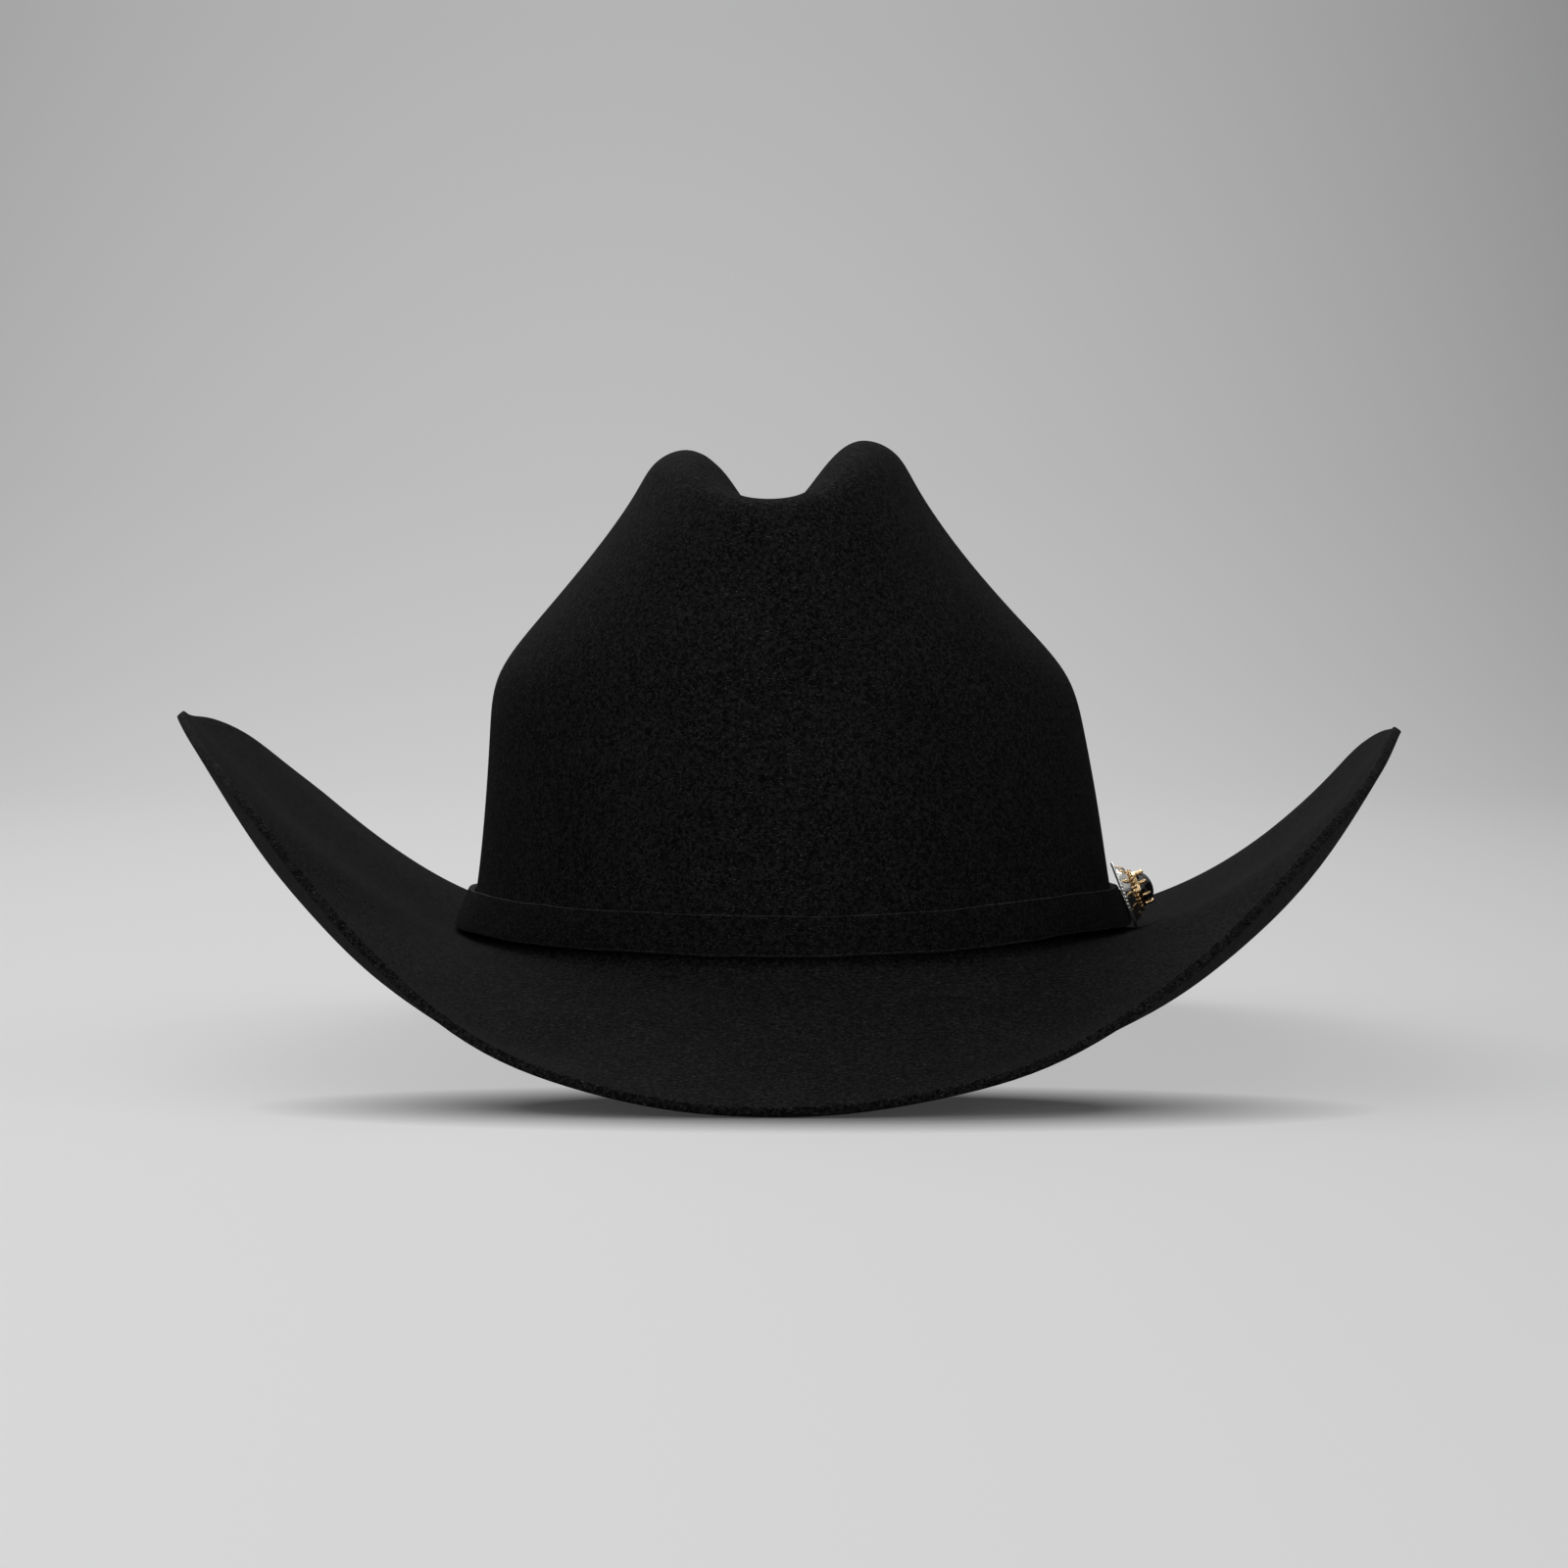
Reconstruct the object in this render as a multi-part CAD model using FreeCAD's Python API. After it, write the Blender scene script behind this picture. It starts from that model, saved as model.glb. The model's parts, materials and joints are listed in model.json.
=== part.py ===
"""Felt cowboy hat: creased crown, rolled brim, felt band with a screw-on concho, sweatband and lining.

Millimetres, +Z up, front of the hat towards -Y, the wearer's left (the concho) towards +X.
The hat is modelled with z = 0 on the line where the brim meets the crown, and every piece is moved
at the end so that the origin is the middle of the whole hat's footprint, on the surface it stands on.
"""
import FreeCAD, Part
import math
import os

Vector = FreeCAD.Vector

# ---- felt body ------------------------------------------------------------------------------
FELT = 2.5                   # thickness of the felt
OVAL_SIDE = 88.0             # half width of the oval where the brim leaves the crown
OVAL_END = 104.0             # half length of the same oval
OVAL_SADDLE = 1.7            # the oval's ends lie this much lower than its sides
BRIM_SIDE = 92.0             # width of the brim at the sides, along the felt
BRIM_END = 97.0              # width of the brim at the front and back
BRIM_UNEVEN = -1.5           # the wearer's left side of the brim is this much narrower
BRIM_FRACTIONS = (1.0, 0.8, 0.6, 0.4, 0.2, 0.1, 0.04)
BREAK_FLAT = 0.8             # the brim lies this much lower just outside the brim line
BREAK_FROM, BREAK_TO = (0.0, 0.04), (0.1, 0.4)      # where that sets in and fades, in brim fractions
LIFT, LIFT_CENTRE, LIFT_SPREAD = 1.8, -35.0, 22.0   # the brim line rises here, in degrees from +X

ROLL_START = 57.5            # the brim turns up outside this distance from the centre line
ROLL_LEFT = (67.0, -10.5)    # slope at the edge, in degrees: linear and square parts, wearer's left
ROLL_RIGHT = (98.8, -54.4)   # the same, wearer's right
DROP_START = 52.0            # the brim dips beyond this distance fore and aft of the middle
DROP_FRONT = (56.7, -10.5)   # how far it dips at the edge: linear and square parts, front
DROP_BACK = (16.2, 15.2)     # the same, back
CURL_LEFT, CURL_RIGHT = 23.8, 26.9   # extra lift of the two front quarters of the edge
CURL_POWER = 5.7             # how sharply that lift gathers at the edge

LEAN = -4.6                  # the crown leans this far to the wearer's right
LEAN_FROM, LEAN_TO = 20.0, 100.0
RIDGE_UNEVEN = 2.6           # the wearer's left ridge is this much taller
RIDGE_FROM, RIDGE_TO = 90.0, 130.0
WALL_TOP = 60.0              # the oval's saddle has faded out at this height

# Loops up the crown: height and half width at the sides, height and place at the front, height and
# place at the back, squareness of the plan (1 is an oval), how far the ends' heights reach round the
# sides (higher is less), and depth of the two side dents.
CROWN_LOOPS = (
    (4.0, 86.2, 4.0, -102.0, 4.0, 102.0, 1.0, 2.0, 0.0),
    (16.0, 84.2, 16.0, -99.0, 16.0, 99.5, 1.0, 2.0, 0.0),
    (37.0, 81.8, 36.0, -95.5, 36.0, 96.5, 1.0, 2.0, 0.0),
    (56.0, 79.2, 55.0, -91.5, 55.0, 93.0, 1.0, 2.0, 0.0),
    (69.0, 77.2, 72.0, -87.5, 72.0, 89.0, 0.97, 3.0, 0.0),
    (83.0, 66.0, 86.0, -83.5, 85.0, 83.5, 0.93, 3.0, 2.0),
    (100.5, 51.5, 99.0, -79.5, 95.0, 77.0, 0.9, 3.0, 3.0),
    (117.5, 38.5, 110.0, -74.5, 102.0, 70.0, 0.88, 3.0, 2.0),
    (126.5, 33.0, 114.5, -67.0, 106.0, 62.0, 0.85, 3.0, 0.0),
    (131.0, 23.0, 114.5, -58.0, 106.0, 52.0, 0.8, 3.0, 0.0),
    (125.5, 15.0, 111.0, -48.0, 103.5, 44.0, 0.8, 3.0, 0.0),
    (112.0, 7.2, 111.5, -39.5, 102.5, 37.5, 0.8, 2.5, 0.0),
)
CREASE_FLOOR = (109.0, 111.5, 102.0)      # height of the centre crease: middle, front, back
CREASE_FRONT, CREASE_BACK = -38.0, 36.0   # ends of the centre crease
DENT_CENTRE, DENT_SPREAD = -15.0, 38.0    # side dents: degrees round from the side, and width

# ---- band and concho ------------------------------------------------------------------------
BAND_HEIGHT = 9.7
BAND_THICKNESS = 1.8
BAND_BOTTOM = 1.5            # height of the band's lower edge above the brim line
BAND_GAP = 0.3               # between the band's upper edge and the crown
BAND_FLARE = 4.0             # how much further out the lower edge stands than the upper one
BAND_FLARE_CONCHO = 3.8      # the same, under the concho
BAND_CHAMFER = 0.35
JOIN_ANGLE = 12.5            # degrees behind the concho where the band's two ends meet
JOIN_GAP = 0.4

CONCHO_RADIUS = 9.15
CONCHO_RISE = 2.2            # its centre lies this far above the middle of the band
CONCHO_CLEARANCE = 0.3       # between the back of the concho and the band
RIM_HEIGHT, RIM_WIDTH = 0.9, 0.8
RIM_ROUND, RIM_STEP = 0.2, 0.25   # the rim's corners are cut this much, and the dome starts this much lower
DOME_RADIUS, DOME_HEIGHT = 5.3, 3.3
PETALS, PETAL_CIRCLE = 12, 7.1
PETAL_LENGTH, PETAL_WIDTH, PETAL_HEIGHT = 1.1, 0.9, 0.7   # half sizes
BEADS, BEAD_CIRCLE, BEAD_RADIUS = 28, 5.46, 0.53
COLLAR_RADIUS, COLLAR_TOP = 4.9, 5.1
SEAT_DEPTH = 0.9             # the stone's seat is this far above the plate
STONE_RADIUS, STONE_TOP, STONE_GIRDLE = 4.2, 8.5, 1.6   # the stone's side is upright up to its girdle
CLAWS, CLAW_TOP, CLAW_RADIUS = 8, 6.9, 0.5
POST_RADIUS, POST_HOLE_RADIUS = 1.95, 2.0
POST_BORE = 1.0
COUNTERBORE_RADIUS, COUNTERBORE_DEPTH = 2.5, 0.9   # in the back of the band, for washer and screw
WASHER_RADIUS, WASHER_THICKNESS = 2.35, 0.3
SCREW_HEAD_RADIUS, SCREW_HEAD_THICKNESS = 2.25, 0.6
WEB_CLEARANCE = 0.1          # between the washer and the band

# ---- sweatband and lining -------------------------------------------------------------------
LEATHER = 1.1
SWEATBAND_LEVELS = ((-2.2, 3.2), (2.4, 3.2), (9.0, 1.3), (30.0, 0.8), (56.0, 0.8))  # height, off felt
SWEATBAND_GAP = 0.6          # between the two ends of the sweatband, at the back
REED_RADIUS, REED_COVER = 1.0, 0.35
REED_OFFSET, REED_LEVEL = 1.6, 0.7
THREAD = 0.25                # radius of the sewing thread
THREAD_LIFT = 0.05           # gap between a stitch and the leather it lies on
STITCH_LENGTH = 3.2
SEWING_LEVEL, STITCH_LEVEL = -1.5, 5.2
SEWING_COUNT, STITCH_COUNT = 110, 120
TAG_SIZE = (30.0, 12.0, 0.4)
TAG_LEVEL, TAG_GAP = 30.0, 0.05

LINING = 0.35
LINING_LEVELS = ((44.0, 0.25), (56.0, 0.25), (68.0, 0.6), (80.0, 1.0), (91.0, 1.4))
TIP_INSET = 2.6              # from the felt to the edge of the lining's oval tip
TIP_RISE = 3.0               # the tip bulges up this much in the middle
PIPING_RADIUS = 0.8
SHIELD_FRACTION = 0.55       # size of the clear tip shield, as a part of the tip
SHIELD_THICKNESS = 0.3

# ---- control loops --------------------------------------------------------------------------
COLUMNS = 36                 # control points round every loop, one each 10 degrees
WALL_SPANS = 8               # the crown wall rises all the way over this many loops from the brim line
LEFT = COLUMNS // 4          # column of the wearer's left; column 0 is the front
BACK = COLUMNS // 2


def column_angle(column):
    return 2 * math.pi * column / COLUMNS - math.pi / 2


def smooth_step(value, low, high):
    t = min(1.0, max(0.0, (value - low) / (high - low)))
    return t * t * (3 - 2 * t)


def by_direction(sine, side, front, back, reach):
    """A value that is side, front or back in those directions, and blends in between."""
    weight = abs(sine) ** reach
    return side * (1 - weight) + (front if sine < 0 else back) * weight


def brim_line_height(angle):
    """Height of the line where the brim meets the crown: a saddle with one uneven rise."""
    off_centre = (math.degrees(angle) - LIFT_CENTRE) / LIFT_SPREAD
    return LIFT * math.exp(-off_centre ** 2) - OVAL_SADDLE * math.sin(angle) ** 2


def oval_point(angle):
    """A point of the brim line, and the direction out of the oval there."""
    c, s = math.cos(angle), math.sin(angle)
    out = Vector(OVAL_END * c, OVAL_SIDE * s, 0).normalize()
    return Vector(OVAL_SIDE * c, OVAL_END * s, 0), out


def rolled(distance, roll):
    """Reach and rise of a strip that runs flat to ROLL_START and then turns up more and more."""
    run = OVAL_SIDE + BRIM_SIDE - ROLL_START
    part = max(0.0, (distance - ROLL_START) / run)
    steps = 24
    reach, rise = min(distance, ROLL_START), 0.0
    for i in range(steps):
        along = part * (i + 0.5) / steps
        slope = math.radians(roll[0] * along + roll[1] * along ** 2)
        reach += part * run * math.cos(slope) / steps
        rise += part * run * math.sin(slope) / steps
    return reach, rise


def brim_shape(flat, angle, fraction):
    """Where a point of the flat brim goes when the brim is rolled, dipped and curled."""
    reach, rise = rolled(abs(flat.x), ROLL_LEFT if flat.x > 0 else ROLL_RIGHT)
    run = OVAL_END + BRIM_END - DROP_START
    part = max(0.0, (abs(flat.y) - DROP_START) / run)
    drop = DROP_FRONT if flat.y < 0 else DROP_BACK
    height = rise - drop[0] * part - drop[1] * part ** 2
    if flat.y < 0:
        curl = CURL_LEFT if flat.x > 0 else CURL_RIGHT
        height += curl * math.sin(2 * angle) ** 2 * fraction ** CURL_POWER
    return Vector(math.copysign(reach, flat.x), flat.y, height)


def brim_loop(fraction):
    """Control loop of the brim at a fraction of its width, 1 at the edge."""
    loop = []
    for column in range(COLUMNS):
        angle = column_angle(column)
        c, s = math.cos(angle), math.sin(angle)
        oval, out = oval_point(angle)
        width = BRIM_SIDE * c * c + BRIM_END * s * s + BRIM_UNEVEN * c ** 3
        shift = oval + Vector(0, 0, brim_line_height(angle)) - brim_shape(oval, angle, 0)
        shift.z -= BREAK_FLAT * smooth_step(fraction, *BREAK_FROM) * (1 - smooth_step(fraction, *BREAK_TO))
        loop.append(brim_shape(oval + out * (width * fraction), angle, fraction) + shift)
    return loop


def lean_at(height):
    return LEAN * smooth_step(height, LEAN_FROM, LEAN_TO)


def crown_loop(side_z, half_width, front_z, front_y, back_z, back_y, square, reach, dent):
    loop = []
    for column in range(COLUMNS):
        angle = column_angle(column)
        c, s = math.cos(angle), math.sin(angle)
        z = by_direction(s, side_z, front_z, back_z, reach)
        z += brim_line_height(angle) * max(0.0, 1 - side_z / WALL_TOP)
        uneven = min(1.0, max(0.0, (side_z - RIDGE_FROM) / (RIDGE_TO - RIDGE_FROM)))
        z += RIDGE_UNEVEN / 2 * uneven * c * abs(c)
        off_side = math.degrees(math.atan2(s, abs(c)))
        width = half_width * abs(c) ** square
        width -= dent * abs(c) * math.exp(-((off_side - DENT_CENTRE) / DENT_SPREAD) ** 2)
        y = (front_y + back_y) / 2 + (back_y - front_y) / 2 * s
        loop.append(Vector(math.copysign(width, c) + lean_at(z), y, z))
    return loop


def crease_loop():
    """The floor of the centre crease: a line in plan, run along once on each side."""
    loop = []
    for column in range(COLUMNS):
        s = math.sin(column_angle(column))
        z = by_direction(s, *CREASE_FLOOR, 2.0)
        y = (CREASE_FRONT + CREASE_BACK) / 2 + (CREASE_BACK - CREASE_FRONT) / 2 * s
        loop.append(Vector(lean_at(z), y, z))
    return loop


def felt_loops():
    loops = [brim_loop(fraction) for fraction in BRIM_FRACTIONS]
    loops.append(brim_loop(0.0))
    loops.extend(crown_loop(*values) for values in CROWN_LOOPS)
    loops.append(crease_loop())
    return loops


def offset_loops(loops, distance):
    """The same loops, moved inwards through the felt, with corners mitred to keep its thickness."""
    result = []
    for i, loop in enumerate(loops):
        moved = []
        for j, point in enumerate(loop):
            if i == len(loops) - 1:
                moved.append(point - Vector(0, 0, distance))
                continue
            round_way = loop[(j + 1) % COLUMNS] - loop[j - 1]
            above = (loops[i + 1][j] - point).cross(round_way)
            below = (point - loops[i - 1][j]).cross(round_way) if i else above
            above.normalize()
            below.normalize()
            moved.append(point + (above + below) * (distance / (1 + above.dot(below))))
        result.append(moved)
    return result


# ---- surfaces and solids from loops ---------------------------------------------------------
def cubic_point(points, t):
    """Point of a uniform cubic curve between its second and third control points."""
    w = ((1 - t) ** 3, 3 * t ** 3 - 6 * t ** 2 + 4, -3 * t ** 3 + 3 * t ** 2 + 3 * t + 1, t ** 3)
    total = Vector(0, 0, 0)
    for point, weight in zip(points, w):
        total += point * (weight / 6)
    return total


def loop_point(loop, place):
    """Point of the closed curve of a loop at a column number, which may be a fraction."""
    start = math.floor(place)
    return cubic_point([loop[(start + k) % COLUMNS] for k in (-1, 0, 1, 2)], place - start)


def loop_frame(loop, place):
    """Point, direction round the loop, and horizontal direction out of it, at a column number."""
    step = 0.05
    point = loop_point(loop, place)
    round_way = (loop_point(loop, place + step) - loop_point(loop, place - step)).normalize()
    return point, round_way, Vector(round_way.y, -round_way.x, 0).normalize()


def half_patch(rows, half, degree):
    """Face over one half of the columns, either curved (3) or ruled (1) from row to row."""
    count = COLUMNS // 2 + 3
    first = half * COLUMNS // 2 - 1
    poles = [[row[(first + k) % COLUMNS] for k in range(count)] for row in rows]
    u_knots = list(range(len(rows) + degree + 1))
    v_knots = list(range(count + 4))
    surface = Part.BSplineSurface()
    surface.buildFromPolesMultsKnots(
        poles, [1] * len(u_knots), [1] * len(v_knots), u_knots, v_knots, False, False, degree, 3)
    surface.segment(degree, len(rows), 3, count)
    return surface.toShape()


def curved_faces(loops):
    """Both halves of the smooth skin from an open edge to a crease on the centre line."""
    edge_guide = [a * 2 - b for a, b in zip(loops[0], loops[1])]
    mirrored = [loops[-2][-column % COLUMNS] for column in range(COLUMNS)]
    rows = [edge_guide] + loops + [mirrored]
    return [half_patch(rows, half, 3) for half in (0, 1)]


def ruled_faces(loop_a, loop_b):
    return [half_patch([loop_a, loop_b], half, 1) for half in (0, 1)]


def solid_of(faces):
    shell = Part.makeShell(faces)
    shell.sewShape()
    solid = Part.makeSolid(Part.Shell(shell.Faces))
    return solid if solid.Volume > 0 else solid.reversed()


def ring_solid(loops):
    """Closed ring whose section is the polygon of the given loops, in order."""
    faces = []
    for a, b in zip(loops, loops[1:] + loops[:1]):
        faces.extend(ruled_faces(a, b))
    return solid_of(faces)


def capped_solid(top_loops, bottom_loops):
    """Thin curved sheet between two skins that share the shape of their edge."""
    faces = curved_faces(top_loops) + curved_faces(bottom_loops)
    faces.extend(ruled_faces(top_loops[0], bottom_loops[0]))
    return solid_of(faces)


def wall_loop(loops, height, away=0.0):
    """Control loop at a height on the crown wall, moved horizontally away from it.

    height is a number or a function of the column. Heights are measured from the brim line."""
    result = []
    start = len(BRIM_FRACTIONS)
    for column in range(COLUMNS):
        target = height(column) if callable(height) else height
        line = [loop[column] for loop in loops[start - 1:]]
        low, high = 0.0, float(WALL_SPANS)
        for _ in range(40):
            middle = (low + high) / 2
            index = int(middle)
            if cubic_point(line[index:index + 4], middle - index).z < target:
                low = middle
            else:
                high = middle
        index = int(low)
        result.append(cubic_point(line[index:index + 4], low - index))
    return moved_out(result, away)


def moved_out(loop, away, up=0.0):
    """The loop moved horizontally outwards, or inwards when away is negative, and up."""
    result = []
    for j, point in enumerate(loop):
        way = loop[(j + 1) % COLUMNS] - loop[j - 1]
        out = Vector(way.y, -way.x, 0).normalize()
        distance = away(j) if callable(away) else away
        result.append(point + out * distance + Vector(0, 0, up))
    return result


def between(loop_a, loop_b, fraction):
    return [a * (1 - fraction) + b * fraction for a, b in zip(loop_a, loop_b)]


def tube_loops(loop, radius, corners=8, start=0.0, turn=360.0):
    """Loops of a round section about a centre loop, as a polygon of corners."""
    result = []
    for k in range(corners):
        angle = math.radians(start + turn * k / (corners if turn == 360 else corners - 1))
        result.append(moved_out(loop, radius * math.cos(angle), radius * math.sin(angle)))
    return result


# ---- threads --------------------------------------------------------------------------------
def thread_between(start, end):
    """A short straight stitch."""
    return Part.makeCylinder(THREAD, (end - start).Length, start, end - start)


def running_stitches(loop, count, away):
    """Evenly spaced stitches round a loop, on its inner side when away is negative."""
    stitches = []
    for i in range(count):
        place = COLUMNS * (i + 0.5) / count
        point, round_way, out = loop_frame(loop, place)
        centre = point + out * away
        half = round_way * (STITCH_LENGTH / 2)
        stitches.append(thread_between(centre - half, centre + half))
    return Part.makeCompound(stitches)


def zigzag(low_loop, high_loop, place, reach, count, away):
    """Stitches that cross a vertical join from side to side as they go up it."""
    stitches = []
    for i in range(count):
        fraction = (i + 0.5) / count
        loop = between(low_loop, high_loop, fraction)
        point, round_way, out = loop_frame(loop, place)
        rise = (high_loop[int(place)] - low_loop[int(place)]) * (0.3 / count)
        side = round_way * (reach if i % 2 else -reach)
        centre = point + out * away
        stitches.append(thread_between(centre - side - rise, centre + side + rise))
    return Part.makeCompound(stitches)


# ---- the pieces -----------------------------------------------------------------------------
OUTER = felt_loops()
INNER = offset_loops(OUTER, FELT)


def make_felt_body():
    return capped_solid(OUTER, INNER)


def band_faces():
    """Loops of the band's back at its top and bottom edge, and of its front at the same edges."""
    def top_level(column):
        return BAND_BOTTOM + BAND_HEIGHT + brim_line_height(column_angle(column))

    def flare(column):
        near = math.exp(-((column - LEFT) / 2.0) ** 2)
        return BAND_FLARE + (BAND_FLARE_CONCHO - BAND_FLARE) * near

    back_top = wall_loop(OUTER, top_level, BAND_GAP)
    back_bottom = moved_out(back_top, flare, -BAND_HEIGHT)
    tilt = math.atan2(BAND_FLARE, BAND_HEIGHT)
    out, up = BAND_THICKNESS * math.cos(tilt), BAND_THICKNESS * math.sin(tilt)
    return back_top, back_bottom, moved_out(back_top, out, up), moved_out(back_bottom, out, up)


BAND_BACK_TOP, BAND_BACK_BOTTOM, BAND_FRONT_TOP, BAND_FRONT_BOTTOM = band_faces()


def concho_frame():
    """Centre of the band's front face under the concho, and the concho's axis out of it."""
    top = loop_point(BAND_FRONT_TOP, LEFT)
    bottom = loop_point(BAND_FRONT_BOTTOM, LEFT)
    up_face = (top - bottom).normalize()
    axis = Vector(up_face.z, 0, -up_face.x).normalize()
    return (top + bottom) / 2 + up_face * CONCHO_RISE, axis


CONCHO_CENTRE, CONCHO_AXIS = concho_frame()


def on_axis(shape):
    """Move a shape made about +Z, with z = 0 at the band's front face, onto the concho's axis."""
    turn = FreeCAD.Rotation(Vector(0, 0, 1), CONCHO_AXIS)
    placed = shape.copy()
    placed.Placement = FreeCAD.Placement(CONCHO_CENTRE, turn).multiply(shape.Placement)
    return placed


def on_front(shape):
    """Move a shape made about +Z, with z = 0 at the back of the plate, onto the concho's axis."""
    placed = shape.copy()
    placed.translate(Vector(0, 0, CONCHO_CLEARANCE))
    return on_axis(placed)


def make_hatband():
    thick = BAND_CHAMFER / BAND_THICKNESS
    tall = BAND_CHAMFER / BAND_HEIGHT

    def corner(across, along):
        back = between(BAND_BACK_BOTTOM, BAND_BACK_TOP, along)
        front = between(BAND_FRONT_BOTTOM, BAND_FRONT_TOP, along)
        return between(back, front, across)

    band = ring_solid([
        corner(thick, 0), corner(1 - thick, 0), corner(1, tall), corner(1, 1 - tall),
        corner(1 - thick, 1), corner(thick, 1), corner(0, 1 - tall), corner(0, tall)])
    depth = BAND_THICKNESS + 4
    hole = Part.makeCylinder(POST_HOLE_RADIUS, depth, Vector(0, 0, 2 - depth))
    recess = Part.makeCylinder(
        COUNTERBORE_RADIUS, depth, Vector(0, 0, COUNTERBORE_DEPTH - BAND_THICKNESS - depth))
    point, round_way, out = loop_frame(BAND_FRONT_TOP, join_place())
    gap = Part.makeBox(10, JOIN_GAP, 2 * BAND_HEIGHT, Vector(-5, -JOIN_GAP / 2, -BAND_HEIGHT))
    gap.Placement = FreeCAD.Placement(
        point - Vector(0, 0, BAND_HEIGHT / 2), FreeCAD.Rotation(Vector(1, 0, 0), out)
    ).multiply(gap.Placement)
    return band.cut(on_axis(hole)).cut(on_axis(recess)).cut(gap)


def join_place():
    return LEFT + COLUMNS * JOIN_ANGLE / 360


def make_hatband_join_stitches():
    low = between(BAND_FRONT_BOTTOM, BAND_FRONT_TOP, 0.06)
    high = between(BAND_FRONT_BOTTOM, BAND_FRONT_TOP, 0.94)
    return zigzag(low, high, join_place(), 1.1, 9, THREAD + THREAD_LIFT)


def revolved(outline):
    """Solid of revolution about +Z from (radius, height) points, the first and last on the axis."""
    points = [Vector(radius, 0, height) for radius, height in outline]
    wire = Part.makePolygon(points + [points[0]])
    return Part.Face(wire).revolve(Vector(0, 0, 0), Vector(0, 0, 1), 360)


def dome_height(radius):
    """Height of the plate's dome above its back, from the rim up to the flat middle."""
    outer = CONCHO_RADIUS - RIM_WIDTH
    part = (outer - radius) / (outer - DOME_RADIUS)
    foot = RIM_HEIGHT - RIM_STEP
    return foot + (DOME_HEIGHT - foot) * math.sin(part * math.pi / 2)


def plate_shape():
    outer = CONCHO_RADIUS - RIM_WIDTH
    outline = [(0, 0), (CONCHO_RADIUS - RIM_ROUND, 0), (CONCHO_RADIUS, RIM_ROUND),
               (CONCHO_RADIUS, RIM_HEIGHT - RIM_ROUND), (CONCHO_RADIUS - RIM_ROUND, RIM_HEIGHT),
               (outer + RIM_ROUND, RIM_HEIGHT)]
    steps = 8
    for i in range(steps + 1):
        radius = outer + (DOME_RADIUS - outer) * i / steps
        outline.append((radius, dome_height(radius)))
    outline.append((0, DOME_HEIGHT))
    return revolved(outline)


def make_concho_plate():
    return on_front(plate_shape())


def make_concho_relief():
    """A ring of gold petals that lie on the dome of the plate."""
    petals = []
    reach = 0.5
    fall = dome_height(PETAL_CIRCLE - reach) - dome_height(PETAL_CIRCLE + reach)
    slope = math.degrees(math.atan2(fall, 2 * reach))
    for i in range(PETALS):
        petal = Part.makeSphere(1.0)
        stretch = FreeCAD.Matrix()
        stretch.scale(Vector(PETAL_LENGTH, PETAL_WIDTH, PETAL_HEIGHT))
        petal = petal.transformGeometry(stretch)
        petal.rotate(Vector(0, 0, 0), Vector(0, 1, 0), slope)
        petal.translate(Vector(PETAL_CIRCLE, 0, dome_height(PETAL_CIRCLE)))
        petal.rotate(Vector(0, 0, 0), Vector(0, 0, 1), 360 * i / PETALS)
        petals.append(petal.cut(plate_shape()).Solids[0])
    return on_front(Part.makeCompound(petals))


def make_concho_beads():
    """Gold beads in a ring round the foot of the collar."""
    beads = []
    for i in range(BEADS):
        angle = 2 * math.pi * i / BEADS
        place = Vector(BEAD_CIRCLE * math.cos(angle), BEAD_CIRCLE * math.sin(angle), 0)
        place.z = DOME_HEIGHT + BEAD_RADIUS
        beads.append(Part.makeSphere(BEAD_RADIUS, place))
    return on_front(Part.makeCompound(beads))


def stone_outline(base):
    outline = [(0, base), (STONE_RADIUS - 0.15, base), (STONE_RADIUS, base + 0.3)]
    steps = 8
    shoulder = base + STONE_GIRDLE
    for i in range(steps + 1):
        angle = math.pi / 2 * i / steps
        rise = (STONE_TOP - shoulder) * math.sin(angle)
        outline.append((STONE_RADIUS * math.cos(angle), shoulder + rise))
    return outline


def make_stone_setting():
    """Gold collar with a seat for the stone and claws that hold it."""
    foot, seat = DOME_HEIGHT, DOME_HEIGHT + SEAT_DEPTH
    collar = Part.makeCylinder(COLLAR_RADIUS, COLLAR_TOP - foot, Vector(0, 0, foot))
    pocket = Part.makeCylinder(STONE_RADIUS + 0.05, 5, Vector(0, 0, seat))
    collar = collar.cut(pocket)
    claw_foot = foot + CLAW_RADIUS
    claw_circle = STONE_RADIUS + 0.2
    for i in range(CLAWS):
        claw = Part.makeCylinder(CLAW_RADIUS, CLAW_TOP - claw_foot, Vector(claw_circle, 0, claw_foot))
        claw = claw.fuse(Part.makeSphere(CLAW_RADIUS, Vector(claw_circle, 0, CLAW_TOP)))
        claw.rotate(Vector(0, 0, 0), Vector(0, 0, 1), 360 * (i + 0.5) / CLAWS)
        collar = collar.fuse(claw.cut(pocket))
    return on_front(collar)


def make_onyx_stone():
    return on_front(revolved(stone_outline(DOME_HEIGHT + SEAT_DEPTH)))


def make_concho_post():
    """Threaded tube brazed to the back of the plate; it turns in the band's hole."""
    top, bottom = CONCHO_CLEARANCE, washer_top()
    post = Part.makeCylinder(POST_RADIUS, top - bottom, Vector(0, 0, bottom))
    post = post.cut(Part.makeCylinder(POST_BORE, top - bottom - 0.2, Vector(0, 0, bottom)))
    return on_axis(post)


def washer_top():
    return COUNTERBORE_DEPTH - BAND_THICKNESS - WEB_CLEARANCE


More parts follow.
